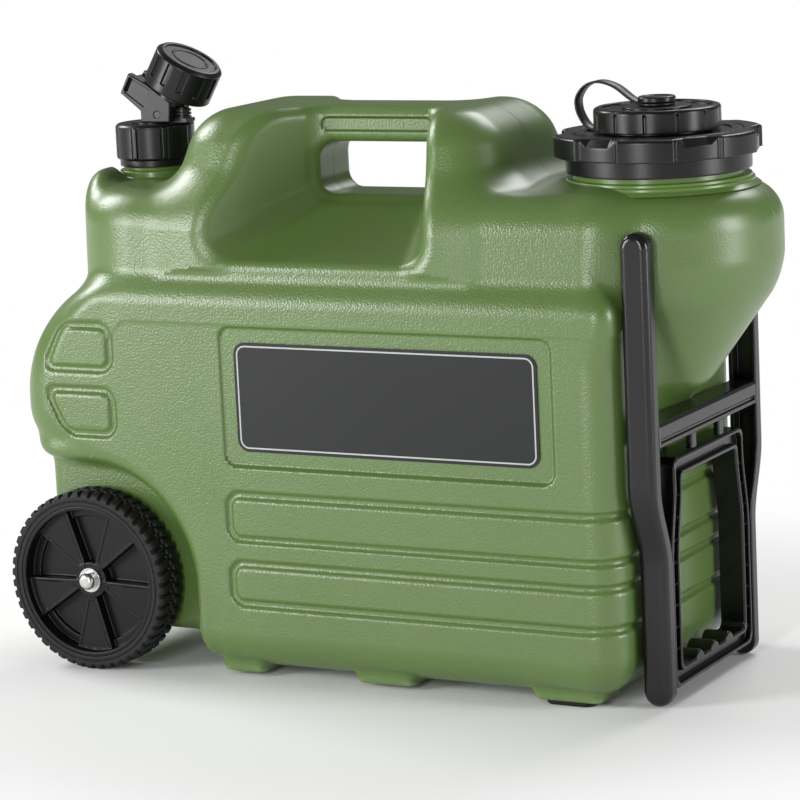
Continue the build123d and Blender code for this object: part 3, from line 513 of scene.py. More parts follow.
def press_lines(x, z):
    """1 where the mould presses the faces of the lower body inwards, 0 elsewhere."""
    pressed = step_up(1.1, -1.1, rounded(x, z, *LABEL, LABEL_CORNER))
    for low, high in RIB_ROWS:
        edge = rounded(x, z, RIB_LEFT, BODY_RIGHT + 60, low, high, RIB_CORNER)
        pressed = np.maximum(pressed, groove_line(edge))
    for low, high, low_slant, high_slant in PAD_ROWS:
        lean = low_slant + (high_slant - low_slant) * np.clip((z - low) / (high - low), 0, 1)
        edge = rounded(x, z, PAD_LEFT + lean, PAD_RIGHT, low, high, RIB_CORNER)
        pressed = np.maximum(pressed, groove_line(edge))
    return pressed


def lower_form(x, side, z):
    """Lower body with the wheel arches and the waist between the wheels."""
    corners = (BODY_LOW_CORNER, BODY_ROUND, SHOULDER_ROUND, LEFT_ROUND)
    profile = rounded(x, z, BODY_LEFT, BODY_RIGHT, BODY_BOTTOM, SHOULDER, corners)
    arch = np.hypot(x - WHEEL_X, z - HUB_Z) - ARCH_RADIUS
    arch = np.minimum(arch, np.maximum(x - WHEEL_X, z - HUB_Z - ARCH_RADIUS))
    arch = np.minimum(arch, np.maximum(x - WHEEL_X - ARCH_RADIUS, z - HUB_Z))
    outer = cut(profile, arch, np.where(x < WHEEL_X, *ARCH_MOUTH))
    edge = blend_to(SHOULDER_ROUND, BODY_ROUND, step_up(*BODY_FOOT_ZONE, z))
    edge = blend_to(edge, CORNER_ROUND, step_up(*CORNER_ZONE, x) * step_up(*CORNER_HEIGHTS, z))
    edge = blend_to(edge, BULGE_ROUND, step_up(*BULGE_ZONE, x))
    edge = blend_to(edge, ARCH_EDGE, step_up(*ARCH_REACH, arch) * step_up(*ARCH_ZONE, x))
    body = meet(outer, side - BODY_HALF, edge)
    left = BODY_LEFT + WAIST_SETBACK * step_up(*WAIST_ZONE, z)
    corners = (WAIST_CORNER, 2.0, 2.0, LEFT_ROUND)
    waist = rounded(x, z, left, WAIST_RIGHT, WAIST_BOTTOM, SHOULDER, corners)
    waist = meet(waist, side - WAIST_HALF, WAIST_EDGE)
    body = join(body, waist, WAIST_HOLLOW)
    return body + PRESS_DEPTH * press_lines(x, z)


def upper_form(x, side, z):
    """Upper body, with the raised rim round the tap's side, the crown and the round bowl at the filler."""
    half = UPPER_HALF - UPPER_LEAN * np.clip((z - UPPER_FOOT) / (DECK - UPPER_FOOT), 0, 1)
    corners = (UPPER_CORNER, UPPER_ROUND, UPPER_ROUND, UPPER_CORNER)
    plan = rounded(x, side, UPPER_LEFT, BODY_RIGHT, -half, half, corners)
    from_tap = np.hypot(x - TAP_X, side)
    rise = RIM_RISE * step_up(*RIM_REACH, from_tap) * step_up(*RIM_ZONE, x) * step_up(*RIM_SIDES, side)
    upper = meet(plan, z - DECK - rise, blend_to(UPPER_ROUND, RIM_ROUND, rise / RIM_RISE))
    lean = np.radians(CROWN_LEAN)
    crown = rounded(x, side, CROWN_LEFT, CROWN_RIGHT, -CROWN_HALF, CROWN_HALF, CROWN_CORNER)
    crown = (crown + np.maximum(z - CROWN_FOOT, 0) * np.tan(lean)) * np.cos(lean)
    crown = np.maximum(meet(crown, z - CROWN_TOP, CROWN_ROUND), CROWN_FOOT - CROWN_SUNK - z)
    upper = join(upper, crown, CROWN_HOLLOW)
    foot = blend_to(*UPPER_DEPTHS, step_up(*UPPER_DEPTH_ZONE, x))
    return np.maximum(upper, foot - z)


def chin_form(x, side, z):
    """Round bowl below the filler neck."""
    out = np.hypot(x - FILLER_X, side)
    flank = CHIN_FLANK[0] * (out - CHIN_BASE) - CHIN_FLANK[1] * (z - CHIN_BOTTOM)
    bowl = meet(out - CHIN_RADIUS, flank, CHIN_BELLY)
    bowl = meet(bowl, z - DECK, UPPER_ROUND)
    return meet(bowl, CHIN_BOTTOM - z, CHIN_FOOT)


def scoop_form(x, side, z):
    """Hollow that opens each side of the crown under the handle."""
    part = np.clip((side - GRIP_HALF) / (BODY_HALF - GRIP_HALF), -0.2, 1.2)
    left = GRIP_LEFT - SCOOP_SPREAD_LEFT * part
    right = GRIP_RIGHT + SCOOP_SPREAD_RIGHT * part
    floor = GRIP_FLOOR - SCOOP_DROP * part
    corner = blend_to(GRIP_CORNER, SCOOP_CORNER, np.clip(part, 0, 1))
    hollow = rounded(x, z, left, right, floor, CROWN_TOP + 80.0, corner) * 0.88
    return meet(hollow, GRIP_HALF - side, GRIP_EDGE)


def tank_form(x, y, z):
    """Outer skin of the tank."""
    side = np.abs(y)
    body = join(lower_form(x, side, z), upper_form(x, side, z), SHOULDER_HOLLOW)
    body = join(body, chin_form(x, side, z), CHIN_HOLLOW)
    body = cut(body, scoop_form(x, side, z), SCOOP_EDGE)
    grip = rounded(x, z, GRIP_LEFT, GRIP_RIGHT, GRIP_FLOOR, GRIP_ROOF, GRIP_CORNER)
    body = cut(body, grip, GRIP_EDGE)
    slot = rounded(x, z, *GRIP_SLOT, GRIP_SLOT_CORNER)
    body = cut(body, meet(slot, GRIP_HALF - GRIP_SLOT_DEPTH - side, 0.5), 1.0)
    for middle, length in FOOT_PLACES:
        ends = (middle - length / 2, middle + length / 2)
        foot = rounded(x, side, *ends, FOOT_NEAR, FOOT_FAR, FOOT_CORNER)
        foot = np.maximum(meet(foot, FOOT_LEVEL - z, FOOT_ROUND), z - FOOT_TOP)
        body = join(body, foot, FOOT_ROUND)
    return body


def fold(angle, count):
    """Angle from the middle of the nearest of equal parts of a turn."""
    part = 2 * np.pi / count
    return (angle + part / 2) % part - part / 2


def slab(value, low, high):
    """Distance to the space between two levels."""
    return np.maximum(low - value, value - high)


def polygon(u, v, corners):
    """Distance to a many-sided outline."""
    nearest = np.full(np.broadcast(u, v).shape, 1e9)
    sign = np.ones(nearest.shape)
    for number, (bu, bv) in enumerate(corners):
        au, av = corners[number - 1]
        eu, ev = bu - au, bv - av
        wu, wv = u - au, v - av
        t = np.clip((wu * eu + wv * ev) / (eu * eu + ev * ev), 0, 1)
        nearest = np.minimum(nearest, np.hypot(wu - eu * t, wv - ev * t))
        above = (v >= av) & (v < bv) & (eu * wv < ev * wu)
        below = (v < av) & (v >= bv) & (eu * wv > ev * wu)
        sign = np.where(above | below, -sign, sign)
    return nearest * sign


def filler_cap_form(x, y, z):
    """Large cap: plain skirt, lobed grip with bevelled valleys, a dish and the spout's tube."""
    out = np.hypot(x - FILLER_X, y)
    turn = np.abs(fold(np.arctan2(y, x - FILLER_X) + CAP_TURN, CAP_LOBES))
    lobe = step_up(*LOBE_SIDE, turn)
    edge = CAP_VALLEY + (CAP_RADIUS - CAP_VALLEY) * lobe
    bevel = blend_to(*BEVEL, step_up(*BEVEL_SIDE, turn))
    grip = meet(out - edge, z - CAP_TOP, 0.5)
    grip = meet(grip, ((out - edge) + (z - CAP_TOP) + bevel) * HALF_RIGHT, 0.6)
    grip = meet(grip, CAP_STEP - z, 0.7)
    skirt = meet(out - CAP_SKIRT, CAP_BOTTOM - z, 1.0)
    cap = np.minimum(grip, np.maximum(skirt, z - CAP_TOP + 4.0))
    cap = cut(cap, meet(out - DISH_RADIUS, CAP_TOP - 1.0 - z, 0.2), 0.5)
    cap = cut(cap, meet(np.abs(out - RING_RADIUS) - 0.6, CAP_TOP - 0.5 - z, 0.1), 0.3)
    cap = np.maximum(cap, -np.maximum(out - NECK_RADIUS - SCREW_GAP, z - CAP_PLATE))
    spout = meet(out - SPOUT_RADIUS, z - SPOUT_TOP, 0.8)
    cap = join(cap, np.maximum(spout, CAP_PLATE - z), 0.6)
    return np.maximum(cap, SPOUT_BORE - out)


def small_cap_form(x, y, z):
    """Small cap: wide facets between narrow grooves, a round rim, a sunk ring and a raised disc."""
    out = np.hypot(x - FILLER_X, y)
    turn = np.abs(fold(np.arctan2(y, x - FILLER_X) + SMALL_TURN, SMALL_FLUTES))
    facet = SMALL_BULGE * (1 - np.cos(turn * SMALL_FLUTES / 2))
    groove = SMALL_GROOVE * step_up(0.030, 0.016, np.pi / SMALL_FLUTES - turn)
    groove = groove * step_up(SMALL_TOP - 1.0, SMALL_TOP - 4.5, z)
    cap = meet(out - SMALL_RADIUS + facet + groove, z - SMALL_TOP, 2.6)
    cap = meet(cap, SMALL_BOTTOM - z, 0.6)
    ring = meet(slab(out, *SMALL_DISH), SMALL_TOP - SMALL_DISH_DEPTH - z, 0.5)
    cap = cut(cap, ring, 0.7)
    inside = np.maximum(out - SPOUT_RADIUS - SCREW_GAP, z - SMALL_PLATE)
    return np.maximum(np.maximum(cap, -inside), STEM_RADIUS + 0.05 - out)


def button_form(x, y, z):
    """Button with a round rim and a shallow dish, its stem and the flange that holds it."""
    out = np.hypot(x - FILLER_X, y)
    low, high = BUTTON_LEVELS
    button = meet(meet(out - BUTTON_RADIUS, z - high, 1.5), low - z, 0.8)
    button = cut(button, meet(out - BUTTON_DISH, high - 0.5 - z, 0.1), 0.6)
    stem = np.maximum(out - STEM_RADIUS, slab(z, *STEM_LEVELS))
    flange = np.maximum(out - FLANGE_RADIUS, slab(z, *FLANGE_LEVELS))
    return np.minimum(np.minimum(button, stem), flange)


def collar_form(x, y, z):
    """Collar nut: wide facets between raised narrow ribs, with a plain skirt below."""
    out = np.hypot(x - TAP_X, y)
    turn = np.abs(fold(np.arctan2(y, x - TAP_X) + np.pi / COLLAR_RIBS, COLLAR_RIBS))
    gap = (np.pi / COLLAR_RIBS - turn) * COLLAR_RADIUS
    groove = GROOVE_DIP * step_up(1.5, 1.9, gap) * step_up(3.0, 2.5, gap)
    dip = FACET_DIP * step_up(1.2, 1.7, gap) + groove
    dip = dip * step_up(COLLAR_TOP - 0.6, COLLAR_TOP - 2.8, z)
    top_bevel = ((out - COLLAR_RADIUS) + (z - COLLAR_TOP) + 2.2) * HALF_RIGHT
    low_bevel = ((out - COLLAR_RADIUS) - (z - COLLAR_BOTTOM) + 1.6) * HALF_RIGHT
    nut = meet(out - COLLAR_RADIUS + dip, top_bevel, 0.5)
    nut = meet(meet(nut, z - COLLAR_TOP, 0.5), low_bevel, 0.4)
    nut = meet(nut, COLLAR_BOTTOM - z, 0.5)
    radius, low = COLLAR_SKIRT
    nut = np.minimum(nut, meet(np.maximum(out - radius, z - COLLAR_TOP + 3), low - z, 0.6))
    inside = np.maximum(out - TAP_NECK - SCREW_GAP, z - COLLAR_PLATE)
    return np.maximum(np.maximum(nut, -inside), TURRET + SCREW_GAP - out)


def tap_axes(x, z):
    """Place along the leaning axis of the knob, and across it, from the cross pin."""
    u, w = x - PIN_X, z - PIN_Z
    ahead, up = TAP_LEAN
    return ahead * u + up * w, up * u - ahead * w


def head_form(x, y, z):
    """Bracket of the tap with its spout arm, the pin's eyes and the round housing of the valve."""
    side = np.abs(y)
    u, w = x - PIN_X, z - PIN_Z
    along, across = tap_axes(x, z)
    from_axis = np.hypot(across, y)
    head = meet(polygon(u, w, HEAD_OUTLINE), side - HEAD_HALF, 0.9)
    panel = meet(polygon(u, w, HEAD_PANEL), HEAD_HALF - 0.8 - side, 0.1)
    head = cut(head, panel, 0.4)
    slot = rounded(across, along, *HEAD_SLOT, 0.6)
    head = cut(head, np.maximum(slot, HEAD_HALF - HEAD_SLOT_DEPTH - side), 0.3)
    housing = meet(from_axis - HOUSING_RADIUS, slab(along, *HOUSING_ENDS), 0.6)
    head = np.minimum(head, housing)
    lug = np.maximum(np.maximum(side - LUG_HALF, w - LUG_TOP), LUG_BACK - u)
    head = np.maximum(head, -lug)
    head = cut(head, np.hypot(u, w) - PIN_RADIUS, 0.5)
    mouth = rounded(y, along - 15.0, -MOUTH_HALF, MOUTH_HALF, -MOUTH_RISE, MOUTH_RISE, 1.2)
    head = np.maximum(head, -np.maximum(mouth, across))
    valve = np.maximum(from_axis - VALVE_RADIUS, slab(along, *VALVE_ENDS))
    return np.maximum(head, -valve)


def knob_form(x, y, z):
    """Knob: slots down its side, a bevelled rim and a sunk top with a raised ring."""
    along, across = tap_axes(x, z)
    out = np.hypot(across, y)
    turn = np.abs(fold(np.arctan2(y, across), KNOB_SLOTS)) * KNOB_RADIUS
    bevel = ((out - KNOB_RADIUS) + (along - KNOB_END) + KNOB_BEVEL) * HALF_RIGHT
    knob = meet(out - KNOB_RADIUS, bevel, 0.4)
    knob = meet(meet(knob, along - KNOB_END, 0.5), KNOB_START - along, 1.0)
    slot = rounded(turn, along, *KNOB_SLOT, 0.5)
    knob = cut(knob, np.maximum(slot, KNOB_RADIUS - KNOB_SLOT_DEPTH - out), 0.35)
    knob = cut(knob, meet(out - KNOB_DISH, KNOB_END - 1.3 - along, 0.1), 0.5)
    ring = meet(np.abs(out - KNOB_RING) - 0.8, slab(along, 40.0, KNOB_END - 0.6), 0.4)
    knob = join(knob, ring, 0.3)
    radius, start = KNOB_BOSS
    boss = np.maximum(out - radius, start - along)
    hollow = np.maximum(np.maximum(out - KNOB_INSIDE, along - KNOB_PLATE), -boss)
    spindle = np.maximum(out - SPINDLE_RADIUS, along - KNOB_PLATE)
    return np.maximum(np.maximum(knob, -hollow), -spindle)


def hub_form(x, y, z):
    """Hub: rim, sunk plane with a stepped ring, boss and raised wedge spokes."""
    depth = np.abs(y) - TYRE_INNER
    u, w = x - WHEEL_X, z - HUB_Z
    out = np.hypot(u, w)
    turn = fold(np.arctan2(w, u) - np.radians(SPOKE_TURN), SPOKES)
    rim = np.maximum(out - RIM_RADIUS, RIM_RADIUS - RIM_WALL - out)
    rim = meet(rim, slab(depth, 0.0, RIM_WIDTH), 0.8)
    within = out - RIM_RADIUS + RIM_WALL / 2
    plane = np.maximum(within, slab(depth, *HUB_PLANE))
    step = meet(np.maximum(within, HUB_STEP - out), slab(depth, HUB_PLANE[0], HUB_STEP_FACE), 0.7)
    hub = join(np.minimum(rim, plane), step, 0.8)
    boss = meet(out - BOSS_RADIUS, slab(depth, 0.0, SPOKE_FACE), 0.8)
    half = np.radians(SPOKE_HALF)
    across = out * np.sin(np.abs(turn)) * np.cos(half) - out * np.cos(turn) * np.sin(half)
    wedge = meet(across, out - SPOKE_REACH, 1.2)
    wedge = meet(wedge, slab(depth, 11.0, SPOKE_FACE), 0.9)
    start, end = SPOKE_INSET
    inset = np.maximum(np.maximum(across + 2.3, out - end), start - out)
    wedge = cut(wedge, np.maximum(inset, SPOKE_FACE - 0.5 - depth), 0.4)
    hub = join(join(hub, wedge, 0.9), boss, 0.8)
    return np.maximum(hub, BORE_RADIUS - out)


def tyre_form(x, y, z):
    """Tyre: round shoulders, a bead line on the side and two staggered rows of slanted blocks."""
    side = np.abs(y)
    depth = side - TYRE_INNER
    u, w = x - WHEEL_X, z - HUB_Z
    out = np.hypot(u, w)
    middle = depth - TYRE_WIDTH / 2
    angle = np.arctan2(w, u)
    lean = 0.35 * middle / TYRE_WIDTH * 2 * np.pi / TREAD_BLOCKS * 2
    phase = np.where(middle > 0, 0.0, np.pi / TREAD_BLOCKS)
    block = np.abs(fold(angle + phase + np.abs(lean), TREAD_BLOCKS)) * WHEEL_RADIUS
    pitch = 2 * np.pi * WHEEL_RADIUS / TREAD_BLOCKS
    notch = step_up(pitch / 2 - 1.9, pitch / 2 - 1.1, block)
    zigzag = 1.3 * np.sign(np.sin(angle * TREAD_BLOCKS))
    centre = step_up(2.6, 1.7, np.abs(middle + zigzag))
    tread = TREAD_DEPTH * np.maximum(notch * step_up(1.6, 2.4, np.abs(middle)), centre)
    rubber = out - WHEEL_RADIUS + tread * step_up(58.5, 61.0, out)
    tyre = meet(rubber, np.abs(middle) - TYRE_WIDTH / 2, TREAD_ROUND)
    bead = np.maximum(np.abs(out - BEAD_RADIUS) - 0.5, TYRE_WIDTH / 2 - 0.5 - np.abs(middle))
    tyre = cut(tyre, bead, 0.3)
    return meet(tyre, RIM_RADIUS - out, 0.6)


def arm_line(z):
    """Distance of an arm's middle from the middle plane, at each height."""
    return blend_to(ARM_LOWER, ARM_UPPER, step_up(JOG_BOTTOM - 4.0, JOG_TOP + 4.0, z))


def arm_form(x, y, z):
    """Both arms: round outside, a channel inside, with round bosses at their ends."""
    side = np.abs(y)
    middle = arm_line(z)
    corners = (0.8, 0.8, ARM_EDGE, ARM_EDGE)
    bar = rounded(x, side - middle, FRAME_LEFT, FRAME_RIGHT, -ARM_HALF, ARM_HALF, corners)
    bar = np.maximum(bar, slab(z, ARM_END, PIVOT_Z))
    sides = (FRAME_LEFT + WALL, FRAME_RIGHT - WALL)
    hollow = rounded(x, side - middle, *sides, -30.0, ARM_HALF - WALL, 1.0)
    bar = np.maximum(bar, -hollow)
    for height, spread in ((PIVOT_Z, ARM_UPPER), (ARM_END, ARM_LOWER)):
        boss = np.hypot(x - FRAME_X, z - height) - ARM_BOSS
        boss = meet(boss, side - spread - ARM_HALF, 5.0)
        boss = meet(boss, spread - ARM_HALF - side, 0.6)
        bar = np.minimum(bar, boss)
    return bar


def frame_form(x, y, z):
    """Pull frame: the arms, the cross bar with its lip and groove, and the two catches."""
    side = np.abs(y)
    bar = rounded(x, z, FRAME_LEFT, FRAME_RIGHT, BAR_LOW, BAR_HIGH, (0.8, 0.8, 2.6, 2.6))
    bar = np.maximum(bar, side - BAR_HALF)
    sides = (FRAME_LEFT + WALL, FRAME_RIGHT - WALL)
    inner = rounded(x, z, *sides, BAR_LOW - 30, BAR_HIGH - WALL, 1.0)
    bar = np.maximum(bar, -np.maximum(inner, side - BAR_HALF + WALL))
    low, high = BAR_GROOVE
    line = rounded(x, z, FRAME_RIGHT - 1.5, FRAME_RIGHT + 9, BAR_LOW + low, BAR_LOW + high, 0.3)
    bar = cut(bar, np.maximum(line, side - BAR_HALF + WALL), 0.3)
    frame = join(bar, arm_form(x, y, z), 1.2)
    sides = (FRAME_RIGHT - 6.0, FRAME_RIGHT - 1.5)
    catch = rounded(x, np.abs(side - CATCH_Y), *sides, -4.0, 4.0, 1.0)
    catch = meet(catch, slab(z, CATCH_BOTTOM, BAR_LOW + 3.0), 0.7)
    frame = join(frame, catch, 0.4)
    for height, spread, radius in HOLES:
        hole = np.hypot(x - FRAME_X, z - height) - radius
        frame = np.maximum(frame, -np.maximum(hole, side - spread - ARM_HALF + WALL))
    return frame


def loop_edge(y, z, move_in):
    """Distance to the pull handle's outline, moved in from its outer edge."""
    side = np.abs(y)
    half = blend_to(LOOP_LOWER, LOOP_UPPER, step_up(JOG_BOTTOM - 4.0, JOG_TOP + 4.0, z)) - move_in
    ends = slab(z, LOOP_BOTTOM + move_in, LOOP_TOP - move_in)
    return meet(side - half, ends, LOOP_CORNER - move_in * 0.2)


def loop_form(x, y, z):
    """Pull handle: a loop with lips, a groove with small ribs, and three finger waves."""
    outer = loop_edge(y, z, 0.0)
    waves = WAVE_DEPTH * np.clip(np.cos(y / WAVE_PITCH * 2 * np.pi), 0, 1) ** 0.8
    waves = waves * (np.abs(y) < WAVE_REACH)
    inner = loop_edge(y, z, LOOP_BAR)
    inner = np.maximum(inner, (LOOP_BOTTOM + LOOP_BAR + waves) - z)
    ring = meet(outer, -inner, 1.4)
    loop = meet(ring, slab(x, LOOP_LEFT, LOOP_RIGHT), 1.6)
    groove = np.maximum(loop_edge(y, z, WALL), -loop_edge(y, z, LOOP_BAR - WALL))
    groove = np.maximum(groove, LOOP_RIGHT - LOOP_GROOVE - x)
    half = LOOP_RIB_PITCH / 2
    rib = np.abs((z - LOOP_RIB_START + half) % LOOP_RIB_PITCH - half) - 0.75
    rib = np.maximum(np.maximum(rib, LOOP_LEFT + 9 - x), x - LOOP_RIGHT + 1.5)
    rib = np.maximum(rib, slab(z, *LOOP_RIB_ENDS))
    loop = cut(loop, cut(groove, rib, 0.2), 0.5)
    hinge = np.maximum(np.hypot(x - FRAME_X, z - HINGE_Z) - 3.05, LOOP_EYE - np.abs(y))
    return np.maximum(loop, -hinge)


def swept_strap(name, material):
    """Flat strap along its route, with round edges, and the eye round the button's stem."""
    route = np.array(STRAP_ROUTE) + (FILLER_X, 0)
    knots = np.vstack([2 * route[0] - route[1], route, 2 * route[-1] - route[-2]])
    line = []
    for number in range(1, len(knots) - 2):
        a, b, c, d = knots[number - 1:number + 3]
        for t in np.linspace(0, 1, STRAP_STEPS, endpoint=number == len(knots) - 3):
            line.append(0.5 * (2 * b + (c - a) * t + (2 * a - 5 * b + 4 * c - d) * t ** 2
                               + (3 * b - a - 3 * c + d) * t ** 3))
    line = np.array(line)
    ahead = np.gradient(line, axis=0)
    ahead /= np.linalg.norm(ahead, axis=1)[:, None]
    over = np.stack([ahead[:, 1], -ahead[:, 0]], 1)
    half = STRAP_WIDTH / 2
    flat = half - STRAP_EDGE
    section = [(-flat, -STRAP_HALF), (0.0, -STRAP_HALF), (flat, -STRAP_HALF), (half, -0.3), (half, 0.3),
               (flat, STRAP_HALF), (0.0, STRAP_HALF), (-flat, STRAP_HALF), (-half, 0.3), (-half, -0.3)]
    points, faces = [], []
    for spot, up in zip(line, over):
        for wide, high in section:
            points.append((spot[0] + up[0] * high, wide, spot[1] + up[1] * high))
    sides = len(section)
    for row in range(len(line) - 1):
        for column in range(sides):
            after = (column + 1) % sides
            low = row * sides
            faces.append((low + column, low + after, low + sides + after, low + sides + column))
    faces.append(tuple(range(sides))[::-1])
    faces.append(tuple((len(line) - 1) * sides + column for column in range(sides)))
    first, rows = len(points), len(EYE_SECTION)
    for number in range(EYE_TURNS):
        angle = 2 * np.pi * number / EYE_TURNS
        for radius, height in EYE_SECTION:
            points.append((FILLER_X + radius * np.cos(angle), radius * np.sin(angle), height))
    for number in range(EYE_TURNS):
        here = first + number * rows
        there = first + (number + 1) % EYE_TURNS * rows
        for row in range(rows):
            after = (row + 1) % rows
            faces.append((here + row, there + row, there + after, here + after))
    piece = mesh_piece(name, np.array(points), faces, material)
    piece.data.set_sharp_from_angle(angle=np.radians(50))
    return piece


def ring_mesh(profile, turns, x):
    """Points and faces of a turned piece, from the radius and height of each ring."""
    angle = np.linspace(0, 2 * np.pi, turns, endpoint=False)
    rows = []
    for radius, height in profile:
        rows.append(np.stack([x + radius * np.cos(angle), radius * np.sin(angle), np.full(turns, height)], 1))
    points = np.concatenate(rows)
    faces = []
    column = np.arange(turns)
    after = (column + 1) % turns
    for row in range(len(profile) - 1):
        low = row * turns
        faces.append(np.stack([low + column, low + after, low + turns + after, low + turns + column], 1))
    return points, np.concatenate(faces)


def rounded_profile(corners):
    """Radius and height of each ring, with every corner rounded by short runs."""
    profile = []
    for number, (radius, height, turn) in enumerate(corners):
        here = np.array([radius, height], dtype=float)
        if turn <= 0 or number in (0, len(corners) - 1):
            profile.append((radius, height))
            continue
        before = np.array(corners[number - 1][:2], dtype=float) - here
        after = np.array(corners[number + 1][:2], dtype=float) - here
        reach = min(turn, 0.49 * np.linalg.norm(before), 0.49 * np.linalg.norm(after))
        start = here + before / np.linalg.norm(before) * reach
        end = here + after / np.linalg.norm(after) * reach
        for t in np.linspace(0, 1, 7):
            spot = start * (1 - t) ** 2 + 2 * here * t * (1 - t) + end * t * t
            profile.append((spot[0], spot[1]))
    return profile


def turned(name, corners, material, x, turns):
    """Turned piece about a vertical axis."""
    points, faces = ring_mesh(rounded_profile(corners), turns, x)
    piece = mesh_piece(name, points, faces, material)
    piece.data.set_sharp_from_angle(angle=np.radians(40))
    return piece


# Node tools
def fill(tree, node, **values):
    """Settings and inputs of a node by name, _ for a space; an input takes a socket or a value."""
    for key, value in values.items():
        label = key.replace("_", " ")
        if label not in node.inputs:
            setattr(node, key, value)
        elif isinstance(value, bpy.types.NodeSocket):
            tree.links.new(value, node.inputs[label])
        else:
            node.inputs[label].default_value = value
    return node


def add_node(tree, kind, **values):
    """Node with its settings and inputs."""
    return fill(tree, tree.nodes.new(kind), **values)


def math_node(tree, operation, *values):
    """Output of a math node whose inputs are sockets or numbers."""
    node = add_node(tree, "ShaderNodeMath", operation=operation)
    for socket, value in zip(node.inputs, values):
        if isinstance(value, (int, float)):
            socket.default_value = value
        else:
            tree.links.new(value, socket)
    return node.outputs[0]


def ranged(tree, value, kind="SMOOTHSTEP", **ends):
    """Output of a map range node, whose ends are named From_Min to To_Max."""
    return add_node(tree, "ShaderNodeMapRange", interpolation_type=kind, Value=value, **ends).outputs[0]


def piece_place(tree):
    """Place on the piece, in metres."""
    return tree.nodes.new("ShaderNodeTexCoord").outputs["Object"]


def parts_of(tree, vector):
    """X, Y and Z of a vector."""
    return add_node(tree, "ShaderNodeSeparateXYZ", Vector=vector).outputs


def mix_colours(tree, part, first, second):
    """Output that runs from the first colour to the second, each a socket or a colour."""
    node = add_node(tree, "ShaderNodeMix", data_type="RGBA")
    tree.links.new(part, node.inputs[0])
    for socket, value in zip(node.inputs[6:8], (first, second)):
        if isinstance(value, tuple):
            socket.default_value = (*value, 1.0)
        else:
            tree.links.new(value, socket)
    return node.outputs[2]


def bent_normal(tree, height, depth):
    """Normal bent by a height, whose depth is in millimetres."""
    return add_node(tree, "ShaderNodeBump", Strength=1.0, Distance=depth * MM, Height=height).outputs[0]


def from_srgb(colour):
    """Linear colour of a colour in eight bits, each of its values over 10."""
    return tuple(((value / 255 + 0.055) / 1.055) ** 2.4 for value in colour)


def new_group(name, inputs, outputs):
    """Shader node group whose sockets are numbers, with what it is given and its result."""
    group = bpy.data.node_groups.new(name, "ShaderNodeTree")
    for label in inputs:
        group.interface.new_socket(label, in_out="INPUT", socket_type="NodeSocketFloat")
    for label in outputs:
        group.interface.new_socket(label, in_out="OUTPUT", socket_type="NodeSocketFloat")
    return group, group.nodes.new("NodeGroupInput").outputs, group.nodes.new("NodeGroupOutput")


def make_grain_group():
    """Moulded grain: pebbles of one size over soft unevenness, as a height."""
    inputs = ("Pebbles per metre", "Pebble height")
    group, given, result = new_group("moulded_grain", inputs, ("Height", "Shade"))
    where = piece_place(group)
    count, size = given[0], given[1]
    pebbles = add_node(group, "ShaderNodeTexVoronoi", feature="SMOOTH_F1", Smoothness=0.6)
    fill(group, pebbles, Vector=where, Scale=count)
    scale = math_node(group, "MULTIPLY", count, 0.35)
    waves = add_node(group, "ShaderNodeTexNoise", Detail=3.0, Vector=where, Scale=scale)
    height = math_node(group, "MULTIPLY", pebbles.outputs["Distance"], size)
    soft = math_node(group, "MULTIPLY", waves.outputs[0], 0.5)
    broad = add_node(group, "ShaderNodeTexNoise", Scale=9.0, Detail=2.0, Vector=where)
    fill(group, result, Height=math_node(group, "SUBTRACT", soft, height), Shade=broad.outputs[0])
    return group


def make_edge_highlight_group():
    """Painted edge highlight: 1 on sharp outer edges, broken up by noise."""
    group, _, result = new_group("painted_edge_highlight", (), ("Wear",))
    bend = group.nodes.new("ShaderNodeNewGeometry").outputs["Pointiness"]
    edge = ranged(group, bend, From_Min=0.515, From_Max=0.585)
    breaks = add_node(group, "ShaderNodeTexNoise", Scale=300.0, Detail=3.0, Vector=piece_place(group))
    fill(group, result, Wear=math_node(group, "MULTIPLY", edge, breaks.outputs[0]))
    return group


def new_material(name):
    """Material with its node tree and shader."""
    material = bpy.data.materials.new(name)
    material.use_nodes = True
    tree = material.node_tree
    return material, tree, tree.nodes["Principled BSDF"]


def grain_outputs(tree, grain, pebbles):
    """Height and shade of the grain, from the pebbles' number per metre and their height."""
    node = add_node(tree, "ShaderNodeGroup", node_tree=grain)
    return fill(tree, node, Pebbles_per_metre=pebbles[0], Pebble_height=pebbles[1]).outputs


def side_faces(tree, low, high):
    """1 on faces that look along Y, 0 on rounds and on faces that look up."""
    normal = tree.nodes.new("ShaderNodeNewGeometry").outputs["Normal"]
    sideways = math_node(tree, "ABSOLUTE", parts_of(tree, normal)["Y"])
    return ranged(tree, sideways, From_Min=low, From_Max=high, To_Min=0.12)


def parting_line(tree):
    """Thin raised line where the two halves of the mould met, in the middle plane."""
    away = math_node(tree, "ABSOLUTE", parts_of(tree, piece_place(tree))["Y"])
    return ranged(tree, away, From_Min=0.9 * MM, From_Max=0.3 * MM)


